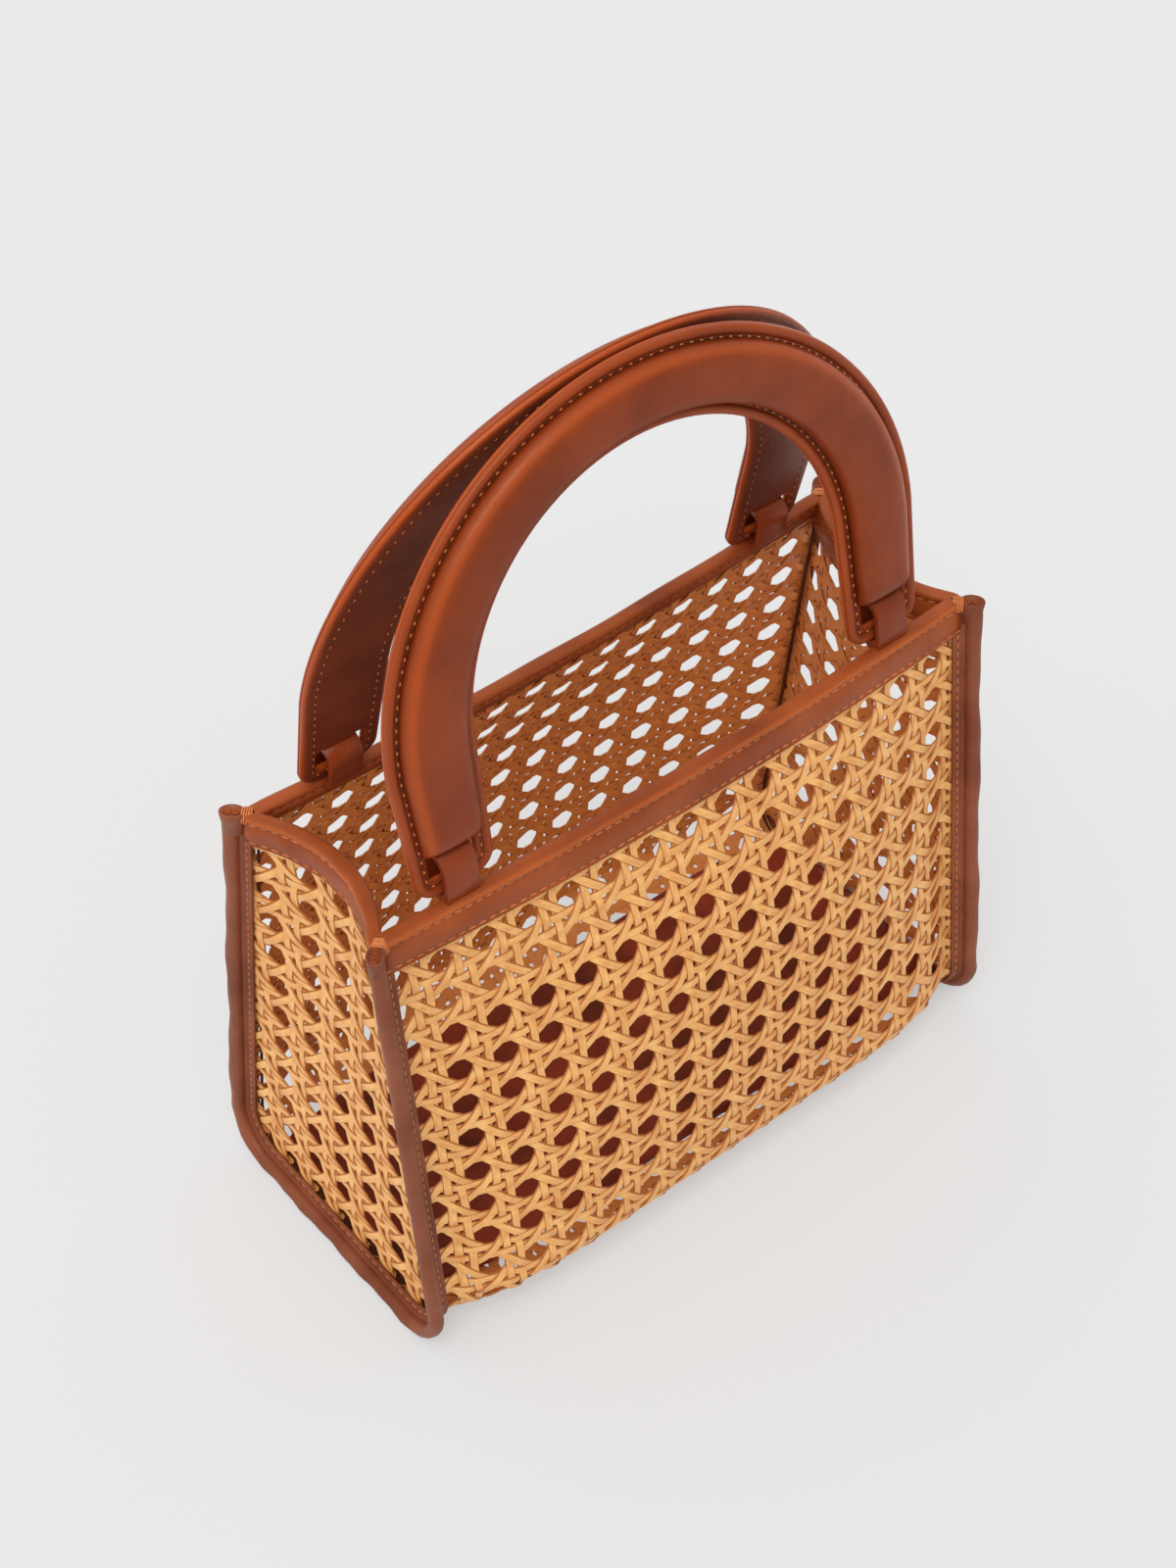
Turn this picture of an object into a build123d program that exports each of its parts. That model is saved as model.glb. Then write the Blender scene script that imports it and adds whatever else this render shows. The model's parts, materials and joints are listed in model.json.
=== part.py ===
from build123d import *

import os
from math import asin, atan, cos, floor, hypot, pi, sin, tan

# Box bag of open cane webbing with leather trims and two arched handles.
# Millimetres. X runs along the front, Y to the back, Z up; the origin is on the floor,
# under the middle of the bag.

# Cane box
bag_width = 240.0
bag_height = 190.0
mouth_depth = 70.0
base_depth = 114.0
floor_gap = 5.2
cane_thickness = 2.5
fold_radius = 15.0
selvedge = 6.0

# Bulges at mid width: the front's top edge bows out, the back's and the sides' bow in
front_rim_bulge = 3.5
back_rim_bulge = -2.5
wall_bulge = 14.2
side_bow = 10.0

# Sections that the curved walls are drawn through: heights, and shares of the half width
wall_steps = 5
wall_stations = (0, 1 / 12, 1 / 3, 2 / 3, 1)
side_sections = 5

# Weave, drawn coarser than the real strands
weave_pitch = 28.0
gap_width = 15.5
window_width = 17.2
ridge_height = 0.8
ridge_clearance = 0.3

# Leather rims along the four top edges
rim_height = 14.0
rim_skin = 1.0
rim_edge_radius = 1.9

# Leather bindings over the corner seams
binding_reach = 4.6
binding_tip_radius = 2.4
binding_leg = 3.6
binding_leg_thickness = 0.9
binding_top_drop = 0.8

# Base board in its leather sleeve
board_thickness = 3.0
base_skin = 1.0
base_edge_radius = 1.5
base_end_clearance = 0.5

# Handles, measured in their own plane from the bottom of the feet
handle_width = 208.0
handle_height = 145.0
hand_gap_width = 144.0
hand_gap_height = 117.0
arch_start = 45.0
foot_taper = 2.0
foot_corner_radius = 7.0
leather_thickness = 1.4
padding_thickness = 4.8
flange_width = 4.6
padding_start = 17.5
padding_corner_radius = 3.0
padding_edge_radius = 2.6
slot_width = 20.0
slot_height = 10.5
slot_corner_radius = 2.0
lip_height = 6.0
handle_gap = 0.5

# Loops that carry the handles
strap_width = 14.5
strap_thickness = 1.9
lip_clearance = 0.55
foot_clearance = 2.0
loop_slot_clearance = 0.9

# Places that follow from the sizes
cane_top = bag_height - rim_skin - 0.5
side_slope = (base_depth - mouth_depth) / 2 / (bag_height - floor_gap)
side_angle = atan(side_slope)
bulge_half_width = bag_width / 2 - selvedge
foot_x = (handle_width + hand_gap_width) / 4
lip_radius = hypot(lip_height / 2, leather_thickness)
loop_inner_radius = lip_radius + lip_clearance
loop_outer_radius = loop_inner_radius + strap_thickness


def side_y(z, inset):
    """Half depth of the flat cane edge at height z, moved inwards by inset."""
    return mouth_depth / 2 + side_slope * (bag_height - z) - inset / cos(side_angle)


def corner(inset):
    """Sharp lower corner of the seam outline, moved inwards by inset."""
    z = floor_gap + inset
    return side_y(z, inset), z


fold_y = side_y(floor_gap + fold_radius, fold_radius)
fold_z = floor_gap + fold_radius


def fold_start(inset):
    """Where the flat side of the outline meets the fold."""
    r = fold_radius - inset
    return fold_y + r * cos(side_angle), fold_z + r * sin(side_angle)


def bulge(z, rim_bulge):
    """Outward bulge of a wall at mid width, from the rim down to the fold."""
    t = (bag_height - z) / (bag_height - fold_start(0)[1])
    return rim_bulge * (1 - t) ** 3 + 4 * wall_bulge * t * (1 - t)


def bulge_slope(z, rim_bulge):
    span = bag_height - fold_start(0)[1]
    t = (bag_height - z) / span
    return (-3 * rim_bulge * (1 - t) ** 2 + 4 * wall_bulge * (1 - 2 * t)) / span


def bulge_share(x):
    """Share of the bulge at a distance x from mid width: none along the selvedges."""
    return max(0.0, 1 - (x / bulge_half_width) ** 2)


def half_profile(share, inset, rim_bulge):
    """Wall points from the top down to the fold, and the four Bezier points of the fold."""
    end_y, end_z = fold_start(inset)
    heights = [cane_top + (end_z - cane_top) * i / wall_steps for i in range(wall_steps + 1)]
    wall = [(-side_y(z, inset) - share * bulge(z, rim_bulge), z) for z in heights]
    wall[-1] = (-end_y, end_z)
    lean = atan(side_slope + share * bulge_slope(end_z, rim_bulge))
    turn = pi / 2 + lean
    pull = 4 / 3 * tan(turn / 4) * (fold_radius - inset)
    foot_z = floor_gap + inset
    fold = [
        (-end_y, end_z),
        (-end_y - pull * sin(lean), end_z - pull * cos(lean)),
        (-fold_y - pull, foot_z),
        (-fold_y, foot_z),
    ]
    tangent = (-sin(lean), -cos(lean))
    return wall, tangent, fold


def wall_section(x, outer_inset, inner_inset, rim_bulge):
    """Cross-section of half the strip, at the front: down the wall and under to mid depth."""
    share = bulge_share(x)
    with BuildSketch(Plane.YZ.offset(x)) as section:
        with BuildLine():
            tops, feet = [], []
            for inset in (outer_inset, inner_inset):
                wall, tangent, fold = half_profile(share, inset, rim_bulge)
                start = (wall[1][0] - wall[0][0], wall[1][1] - wall[0][1])
                Spline(*wall, tangents=[start, tangent])
                Bezier(*fold)
                foot = (0, fold[-1][1])
                Line(fold[-1], foot)
                tops.append(wall[0])
                feet.append(foot)
            Line(*tops)
            Line(*feet)
        make_face()
    return section.sketch.face()


def quarter_sections(outer_inset, inner_inset, rim_bulge):
    """Sections from mid width to the selvedge, with one near the middle to keep it flat there."""
    stations = [bulge_half_width * share for share in wall_stations]
    return [wall_section(x, outer_inset, inner_inset, rim_bulge) for x in stations]


# Places of the cells: columns from mid width, rows down from the rim and back from mid depth
wall_top = bag_height - rim_height
ridge_top = wall_top - ridge_clearance
wall_rows = floor((wall_top - fold_start(0)[1]) / weave_pitch)
half_columns = floor(bulge_half_width / weave_pitch + 0.5)
cell_x = [i * weave_pitch for i in range(half_columns)]
cell_z = [wall_top - (i + 0.5) * weave_pitch for i in range(wall_rows)]
cell_y = [-i * weave_pitch for i in range(floor(fold_y / weave_pitch + 0.5))]
wall_cells = [(x, z) for x in cell_x for z in cell_z]
bottom_cells = [(x, y) for x in cell_x for y in cell_y]
under_depth = floor_gap + 2 * cane_thickness

with BuildPart() as wall_gaps:
    with BuildSketch(Plane.XZ):
        with Locations(*wall_cells):
            RegularPolygon(gap_width / 2, 8, major_radius=False, rotation=22.5)
    extrude(amount=base_depth)
    with BuildSketch(Plane.XY):
        with Locations(*bottom_cells):
            RegularPolygon(gap_width / 2, 8, major_radius=False, rotation=22.5)
    extrude(amount=under_depth)

with BuildPart() as wall_windows:
    with BuildSketch(Plane.XZ):
        with Locations(*wall_cells):
            Rectangle(window_width, window_width)
    extrude(amount=base_depth)
    with BuildSketch(Plane.XY):
        with Locations(*bottom_cells):
            Rectangle(window_width, window_width)
    extrude(amount=under_depth)



def quarter_sheet(rim_bulge):
    """The plain cane of a quarter of the wrap, at the front right."""
    with BuildPart() as sheet:
        loft(sections=quarter_sections(0, cane_thickness, rim_bulge))
        edge_face = wall_section(bulge_half_width, 0, cane_thickness, rim_bulge)
        extrude(edge_face, amount=selvedge)
    return sheet.part


def quarter_wrap(rim_bulge):
    """A quarter of the wrap with its raised strands and the gaps between them."""
    with BuildPart() as ridges:
        loft(sections=quarter_sections(-ridge_height, cane_thickness / 2, rim_bulge))
        split(bisect_by=Plane.XY.offset(ridge_top), keep=Keep.BOTTOM)
        add(wall_windows.part, mode=Mode.SUBTRACT)
    with BuildPart() as quarter:
        add(quarter_sheet(rim_bulge))
        add(ridges.part)
        add(wall_gaps.part, mode=Mode.SUBTRACT)
    return quarter.part


with BuildPart() as half_wrap:
    add(quarter_wrap(front_rim_bulge))
    mirror(quarter_wrap(back_rim_bulge), about=Plane.XZ)

with BuildPart() as cane_wrap:
    add(half_wrap.part)
    mirror(about=Plane.YZ)


# A side gusset: a flat frame along the seams and a panel that bows inwards to the mouth
side_face = bag_width / 2
panel_inset = cane_thickness + selvedge
panel_foot = corner(panel_inset)[1]


def outline_face(inset, top):
    """Seam outline of the side, moved inwards by inset and closed at the given height."""
    corner_y, corner_z = corner(inset)
    with BuildSketch(Plane.YZ) as outline:
        with BuildLine():
            left = (-side_y(top, inset), top)
            right = (side_y(top, inset), top)
            path = [left, (-corner_y, corner_z), (corner_y, corner_z), right]
            FilletPolyline(*path, radius=fold_radius - inset)
            Line(right, left)
        make_face()
    return outline.sketch.face()


def bow(z):
    """Inward bow of the gusset at mid depth: full at the top, none at its foot."""
    t = (z - panel_foot) / (cane_top - panel_foot)
    return side_bow * t * t * (3 - 2 * t)


def bowed_section(z, half_depth, outer, inner):
    """Strip of the gusset at one height, between two distances beyond its outer face."""
    with BuildSketch(Plane.XY.offset(z)) as strip:
        with BuildLine():
            for beyond in (outer, inner):
                x = side_face + beyond
                Bezier((x, -half_depth), (x - 2 * bow(z), 0), (x, half_depth))
            for y in (-half_depth, half_depth):
                Line((side_face + outer, y), (side_face + inner, y))
        make_face()
    return strip.sketch.face()


def bowed_sections(outer, inner):
    """Strips of the gusset from the foot of its panel to the top."""
    step = (cane_top - panel_foot) / (side_sections - 1)
    heights = [panel_foot + step * i for i in range(side_sections)]
    return [bowed_section(z, side_y(z, panel_inset), outer, inner) for z in heights]


# Cells of the gusset, as many as stay clear of the bindings at each height
gusset_margin = cane_thickness + binding_leg + ridge_clearance
gusset_cells = []
for z in cell_z:
    reach = side_y(z, gusset_margin) - gap_width / 2
    count = 2 * floor(reach / weave_pitch) + 1
    gusset_cells += [((i - count // 2) * weave_pitch, z) for i in range(count)]

with BuildPart() as side_gaps:
    with BuildSketch(Plane.YZ.offset(side_face / 2)):
        with Locations(*gusset_cells):
            RegularPolygon(gap_width / 2, 8, major_radius=False, rotation=22.5)
    extrude(amount=side_face)

with BuildPart() as side_windows:
    with BuildSketch(Plane.YZ.offset(side_face / 2)):
        with Locations(*gusset_cells):
            Rectangle(window_width, window_width)
    extrude(amount=side_face)

with BuildPart() as side_ridge_limit:
    limit_face = outline_face(gusset_margin, ridge_top)
    extrude(limit_face, amount=bag_width)

with BuildPart() as side_ridges:
    loft(sections=bowed_sections(ridge_height, -cane_thickness / 2))
    add(side_ridge_limit.part, mode=Mode.INTERSECT)
    add(side_windows.part, mode=Mode.SUBTRACT)

with BuildPart() as right_side_sheet:
    sheet_face = outline_face(cane_thickness, cane_top)
    extrude(sheet_face, amount=side_face)
    split(bisect_by=Plane.YZ.offset(side_face - cane_thickness), keep=Keep.TOP)
    with BuildSketch(Plane.YZ):
        with BuildLine():
            window_y, window_z = corner(panel_inset)
            top_y = side_y(bag_height, panel_inset)
            below = [(-window_y, window_z), (window_y, window_z)]
            Polyline((-top_y, bag_height), *below, (top_y, bag_height), close=True)
        make_face()
    extrude(amount=side_face, mode=Mode.SUBTRACT)
    loft(sections=bowed_sections(0, -cane_thickness))

with BuildPart() as right_side_weave:
    add(right_side_sheet.part)
    add(side_ridges.part)
    add(side_gaps.part, mode=Mode.SUBTRACT)

with BuildPart() as left_side_weave:
    mirror(right_side_weave.part, about=Plane.YZ)


# Leather rims, folded over the cane's top edge
rim_shoulder = bag_height - rim_edge_radius
rim_stations = [(wall_top, 0), ((wall_top + rim_shoulder) / 2, 0)]
edge_steps = 3
for step in range(edge_steps + 1):
    turn = step / edge_steps * pi / 2
    rim_stations.append((rim_shoulder + rim_edge_radius * sin(turn), rim_edge_radius * (1 - cos(turn))))


def rim_strip(plane, half_curve, half_length, outer_reach, inner_reach, sag):
    """Strip of a rim at one height; the reaches are measured outwards from the bag's middle."""
    with BuildSketch(plane) as strip:
        with BuildLine():
            for y in (-outer_reach, -inner_reach):
                Line((-half_length, y), (-half_curve, y))
                Bezier((-half_curve, y), (0, y - 2 * sag), (half_curve, y))
                Line((half_curve, y), (half_length, y))
            for x in (-half_length, half_length):
                Line((x, -outer_reach), (x, -inner_reach))
        make_face()
    return strip.sketch.face()


def wall_rim_strip(z, narrowing, rim_bulge):
    outer = side_y(z, narrowing - rim_skin)
    inner = side_y(z, cane_thickness + rim_skin - narrowing)
    sag = bulge(z, rim_bulge)
    return rim_strip(Plane.XY.offset(z), bulge_half_width, side_face + rim_skin, outer, inner, sag)


def side_rim_strip(z, narrowing):
    plane = Plane((0, 0, z), x_dir=(0, 1, 0), z_dir=(0, 0, 1))
    outer = side_face + rim_skin - narrowing
    inner = side_face - cane_thickness - rim_skin + narrowing
    half_length = side_y(z, cane_thickness + rim_skin)
    return rim_strip(plane, side_y(z, panel_inset), half_length, outer, inner, -bow(min(z, cane_top)))


def wall_sheet(rim_bulge):
    """Plain cane of a whole wall, at the front."""
    with BuildPart() as sheet:
        add(quarter_sheet(rim_bulge))
        mirror(about=Plane.YZ)
    return sheet.part


def wall_rim(rim_bulge):
    """Rim of a wall, at the front, with its groove for the cane and the gussets."""
    with BuildPart() as rim:
        loft(sections=[wall_rim_strip(*station, rim_bulge) for station in rim_stations], ruled=True)
        add(wall_sheet(rim_bulge), mode=Mode.SUBTRACT)
        add(right_side_sheet.part, mode=Mode.SUBTRACT)
        add(mirror(right_side_sheet.part, about=Plane.YZ, mode=Mode.PRIVATE), mode=Mode.SUBTRACT)
    return rim.part


with BuildPart() as front_rim:
    add(wall_rim(front_rim_bulge))

with BuildPart() as back_rim:
    mirror(wall_rim(back_rim_bulge), about=Plane.XZ)

with BuildPart() as right_rim:
    loft(sections=[side_rim_strip(*station) for station in rim_stations], ruled=True)
    add(right_side_sheet.part, mode=Mode.SUBTRACT)

with BuildPart() as left_rim:
    mirror(right_rim.part, about=Plane.YZ)

# Leather bindings over the corner seams: down the front, along the bottom, up the back
with BuildPart() as right_seam_binding:
    with BuildLine() as seam_path:
        seam_y, seam_z = corner(0)
        above = bag_height + binding_reach
        FilletPolyline(
            (side_face, -side_y(above, 0), above),
            (side_face, -seam_y, seam_z),
            (side_face, seam_y, seam_z),
            (side_face, side_y(above, 0), above),
            radius=fold_radius,
        )
    outward = Vector(0, -cos(side_angle), -sin(side_angle))
    seam_plane = Plane(seam_path.line @ 0, x_dir=outward, z_dir=seam_path.line % 0)
    across = 1 if seam_plane.y_dir.X > 0 else -1
    tip = binding_reach / 2**0.5
    leg = binding_leg
    skin = binding_leg_thickness
    with BuildSketch(seam_plane):
        with Locations((tip, across * tip)):
            Circle(binding_tip_radius)
        Polygon((skin, -across * leg), (tip, across * tip), (-leg, across * skin), align=None)
        make_hull()
        Polygon((0, 0), (0, -across * leg), (-leg, -across * leg), (-leg, 0), align=None, mode=Mode.SUBTRACT)
    sweep(path=seam_path.line)
    split(bisect_by=Plane.XY.offset(bag_height - binding_top_drop), keep=Keep.BOTTOM)
    split(bisect_by=Plane.XY, keep=Keep.TOP)
    for rim in (front_rim, back_rim, right_rim):
        add(rim.part, mode=Mode.SUBTRACT)

with BuildPart() as left_seam_binding:
    mirror(right_seam_binding.part, about=Plane.YZ)

# Base board on the floor of the bag, in a leather sleeve that is open at its ends
base_floor = floor_gap + cane_thickness
base_length = bag_width - 2 * (cane_thickness + base_end_clearance)
base_width = 2 * fold_y
sleeve_height = board_thickness + 2 * base_skin

with BuildPart() as base_board:
    with BuildSketch(Plane.XY.offset(base_floor + base_skin)):
        Rectangle(base_length, base_width - 2 * base_skin)
    extrude(amount=board_thickness)

with BuildPart() as base_leather:
    with BuildSketch(Plane.XY.offset(base_floor)):
        Rectangle(base_length, base_width)
    extrude(amount=sleeve_height)
    fillet(base_leather.edges().filter_by(Axis.X), radius=base_edge_radius)
    add(base_board.part, mode=Mode.SUBTRACT)

# Handles: their plane holds the hinge line through the lips and leans in until the backs meet
rim_share = bulge_share(foot_x)
rim_middle = -side_y(bag_height, cane_thickness / 2) - rim_share * front_rim_bulge
hinge_y = rim_middle + (loop_inner_radius + loop_outer_radius) / 2
hinge_z = bag_height + foot_clearance + lip_height / 2
arch_top = handle_height - lip_height / 2
back_turn = atan(leather_thickness / arch_top)
handle_lean = asin((-hinge_y - handle_gap / 2) / hypot(arch_top, leather_thickness)) - back_turn
handle_normal = (0, -cos(handle_lean), sin(handle_lean))
handle_plane = Plane((0, hinge_y, hinge_z), x_dir=(1, 0, 0), z_dir=handle_normal)
slot_spots = [(side * foot_x, (lip_height + slot_height) / 2) for side in (-1, 1)]


def arch_face(inset, foot, corner_radius):
    """Arch outline moved inwards by inset, starting at a height above the bottom of the feet."""
    outer_reach = handle_width / 2 - inset
    inner_reach = hand_gap_width / 2 + inset
    spring = arch_start - lip_height / 2
    taper = foot_taper * (1 - foot / arch_start)
    with BuildSketch(handle_plane) as arch:
        with BuildLine():
            outer_rise = handle_height - arch_start - inset
            inner_rise = hand_gap_height - arch_start + inset
            EllipticalCenterArc((0, spring), outer_reach, outer_rise, arc_size=180)
            EllipticalCenterArc((0, spring), inner_reach, inner_rise, arc_size=180)
            for side in (-1, 1):
                outer_foot = (side * (outer_reach - taper), foot - lip_height / 2)
                inner_foot = (side * (inner_reach + taper / 2), foot - lip_height / 2)
                ends = (side * outer_reach, spring), (side * inner_reach, spring)
                Polyline(ends[0], outer_foot, inner_foot, ends[1])
        make_face()
        fillet(arch.vertices().group_by(Axis.Y)[0], radius=corner_radius)
    return arch.sketch.face()


with BuildPart() as handle_slots:
    with BuildSketch(handle_plane):
        with Locations(*slot_spots):
            RectangleRounded(slot_width, slot_height, slot_corner_radius)
    extrude(amount=2 * leather_thickness, both=True)

with BuildPart() as front_handle_core:
    core_inset = flange_width + leather_thickness
    core_face = arch_face(core_inset, padding_start + leather_thickness, padding_corner_radius / 2)
    extrude(core_face, amount=padding_thickness)

with BuildPart() as front_handle_face:
    pad_face = arch_face(flange_width, padding_start, padding_corner_radius)
    extrude(pad_face, amount=padding_thickness + leather_thickness)
    pad_top = front_handle_face.faces().sort_by(Axis((0, 0, 0), handle_normal))[-1]
    fillet(pad_top.edges(), radius=padding_edge_radius)
    flange_face = arch_face(0, 0, foot_corner_radius)
    extrude(flange_face, amount=leather_thickness)
    add(front_handle_core.part, mode=Mode.SUBTRACT)
    add(handle_slots.part, mode=Mode.SUBTRACT)

with BuildPart() as front_handle_backing:
    extrude(flange_face, amount=-leather_thickness)
    add(handle_slots.part, mode=Mode.SUBTRACT)

with BuildPart() as back_handle_core:
    mirror(front_handle_core.part, about=Plane.XZ)

with BuildPart() as back_handle_face:
    mirror(front_handle_face.part, about=Plane.XZ)

with BuildPart() as back_handle_backing:
    mirror(front_handle_backing.part, about=Plane.XZ)

# Loops through the slots and round the lips, with both ends on the rim
loop_rise = slot_height + lip_height / 2 - loop_slot_clearance - loop_outer_radius
loop_top = (hinge_y + loop_rise * sin(handle_lean), hinge_z + loop_rise * cos(handle_lean))
loop_middle = ((hinge_y + loop_top[0]) / 2, (hinge_z + loop_top[1]) / 2)


def right_loop(rim_bulge):
    """Right loop of a wall, at the front, cut to the wall's rim."""
    reach = rim_share * rim_bulge
    rim_front = -side_y(bag_height, -rim_skin) - reach
    rim_back = -side_y(bag_height, cane_thickness + rim_skin) - reach
    root = max(hinge_y - loop_outer_radius, rim_front + rim_edge_radius / 2)
    with BuildPart() as loop:
        with BuildSketch(Plane.YZ.offset(foot_x)):
            SlotCenterPoint(loop_middle, loop_top, 2 * loop_outer_radius)
            Polygon(
                (hinge_y - loop_outer_radius, hinge_z),
                (root, rim_shoulder),
                (rim_back, rim_shoulder),
                (hinge_y, hinge_z - loop_outer_radius),
                align=None,
            )
            SlotCenterPoint(loop_middle, loop_top, 2 * loop_inner_radius, mode=Mode.SUBTRACT)
        extrude(amount=strap_width / 2, both=True)
        add(wall_rim(rim_bulge), mode=Mode.SUBTRACT)
        add(wall_sheet(rim_bulge), mode=Mode.SUBTRACT)
    return loop.part


with BuildPart() as front_right_loop:
    add(right_loop(front_rim_bulge))

with BuildPart() as front_left_loop:
    mirror(front_right_loop.part, about=Plane.YZ)

with BuildPart() as back_right_loop:
    mirror(right_loop(back_rim_bulge), about=Plane.XZ)

with BuildPart() as back_left_loop:
    mirror(back_right_loop.part, about=Plane.YZ)

os.makedirs("parts", exist_ok=True)
cane_wrap.part.label = "cane_wrap"
export_step(cane_wrap.part, "parts/cane_wrap.step")
left_side_weave.part.label = "left_side_weave"
export_step(left_side_weave.part, "parts/left_side_weave.step")
right_side_weave.part.label = "right_side_weave"
export_step(right_side_weave.part, "parts/right_side_weave.step")
base_board.part.label = "base_board"
export_step(base_board.part, "parts/base_board.step")
base_leather.part.label = "base_leather"
export_step(base_leather.part, "parts/base_leather.step")
front_rim.part.label = "front_rim"
export_step(front_rim.part, "parts/front_rim.step")
back_rim.part.label = "back_rim"
export_step(back_rim.part, "parts/back_rim.step")
left_rim.part.label = "left_rim"
export_step(left_rim.part, "parts/left_rim.step")
right_rim.part.label = "right_rim"
export_step(right_rim.part, "parts/right_rim.step")
left_seam_binding.part.label = "left_seam_binding"
export_step(left_seam_binding.part, "parts/left_seam_binding.step")
right_seam_binding.part.label = "right_seam_binding"
export_step(right_seam_binding.part, "parts/right_seam_binding.step")
front_left_loop.part.label = "front_left_loop"
export_step(front_left_loop.part, "parts/front_left_loop.step")
front_right_loop.part.label = "front_right_loop"
export_step(front_right_loop.part, "parts/front_right_loop.step")
back_left_loop.part.label = "back_left_loop"
export_step(back_left_loop.part, "parts/back_left_loop.step")
back_right_loop.part.label = "back_right_loop"
export_step(back_right_loop.part, "parts/back_right_loop.step")
front_handle_face.part.label = "front_handle_face"
export_step(front_handle_face.part, "parts/front_handle_face.step")
front_handle_core.part.label = "front_handle_core"
export_step(front_handle_core.part, "parts/front_handle_core.step")
front_handle_backing.part.label = "front_handle_backing"
export_step(front_handle_backing.part, "parts/front_handle_backing.step")
back_handle_face.part.label = "back_handle_face"
export_step(back_handle_face.part, "parts/back_handle_face.step")
back_handle_core.part.label = "back_handle_core"
export_step(back_handle_core.part, "parts/back_handle_core.step")
back_handle_backing.part.label = "back_handle_backing"
export_step(back_handle_backing.part, "parts/back_handle_backing.step")
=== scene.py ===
import json
from math import atan, ceil, cos, floor, hypot, pi, radians, sin, tan

import bmesh
import bpy
import numpy as np
from bpy.props import FloatProperty, FloatVectorProperty, PointerProperty
from mathutils import Matrix, Vector


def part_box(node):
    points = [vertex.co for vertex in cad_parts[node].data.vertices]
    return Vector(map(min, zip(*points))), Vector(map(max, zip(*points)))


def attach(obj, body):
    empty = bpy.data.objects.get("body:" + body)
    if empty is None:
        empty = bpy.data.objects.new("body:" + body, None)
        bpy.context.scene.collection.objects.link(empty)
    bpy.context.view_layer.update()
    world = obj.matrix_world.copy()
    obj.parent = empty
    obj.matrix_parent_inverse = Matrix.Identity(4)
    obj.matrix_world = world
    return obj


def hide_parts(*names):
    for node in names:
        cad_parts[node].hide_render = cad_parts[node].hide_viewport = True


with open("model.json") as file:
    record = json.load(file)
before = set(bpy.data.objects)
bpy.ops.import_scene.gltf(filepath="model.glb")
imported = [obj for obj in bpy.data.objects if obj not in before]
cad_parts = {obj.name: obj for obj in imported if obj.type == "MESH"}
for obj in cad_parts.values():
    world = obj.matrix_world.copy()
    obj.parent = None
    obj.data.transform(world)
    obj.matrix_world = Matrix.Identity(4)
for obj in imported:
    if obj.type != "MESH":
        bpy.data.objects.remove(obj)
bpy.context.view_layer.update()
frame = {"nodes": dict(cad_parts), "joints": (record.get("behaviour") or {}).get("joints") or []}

bl_info = {
    "name": "Cane Box Bag",
    "version": (1, 0, 0),
    "blender": (4, 5, 0),
    "location": "View3D > Sidebar > Box Bag",
    "description": "Finishes the solids of a cane webbing box bag with weave, leather and stitches",
    "category": "Object",
}

MM = 0.001

# The bag's sizes; every length among these constants is in millimetres
BAG_WIDTH = 240.0
BAG_HEIGHT = 190.0
MOUTH_DEPTH = 70.0
BASE_DEPTH = 114.0
FLOOR_GAP = 5.2
FOLD_RADIUS = 15.0
LEATHER = 1.4

# The walls: how far they stand out at mid width, and how far the gussets bow in
FRONT_RIM_BULGE = 3.5
BACK_RIM_BULGE = -4.5
SOLID_RIM_BULGE = {-1: 3.5, 1: -2.5}
WALL_BULGE = 14.2
FOOT_BULGE = 11.0
FOLD_FOLLOWS = 0.8
SLEEVE_FOLLOWS = 0.85
SLEEVE_STILL = 20.0
SLEEVE_EASE = 30.0
SETTLE_FADE = 8.0
SELVEDGE = 6.0
SIDE_BOW = 10.0
BOW_INSET = 3.5

# The weave: hole columns from the middle, hole rows from the top edge
CANE_THICKNESS = 2.5
CANE_MIDDLE = CANE_THICKNESS / 2
FIRST_COLUMN = -3.9
FIRST_ROW = 20.9
WEAVE_TOP = 8.0
WRAP_EDGE = 0.6
GUSSET_EDGE = 1.0
GUSSET_FOOT = 1.2
WEAVE_OVERLAP = 0.9
FRONT_SHARE = 0.72
STRAND_SIDES = 6
STRAND_STEPS = 12
HAND_SWAY = 0.16
HAND_RIPPLE = 0.06

# Rims, and the bindings over the corner seams
RIM_SKIN = 1.0
RIM_HEIGHT = 14.0
BACK_RIM_INSIDE = 6.0
RIM_TOP_ROW = 3.0
RIM_EDGE_ROW = 11.9
STITCH_OUT = 0.8
RIM_WAVE = 0.22
BINDING_BEAD = 2.75
BINDING_MIDDLE = 3.0
BINDING_LEG = 3.9
BINDING_SKIN = 0.95
BINDING_GROOVE = 1.9
BINDING_DROP = 0.8
BINDING_SWAY = 0.28
BINDING_RIPPLE = 0.16
ROLL_DEPTH = 9.0
ROLL_LONG = 4.5
ROLL_SHORT = 3.1
ROLL_OUT = 3.9
ROLL_TAPER = 0.24

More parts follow.
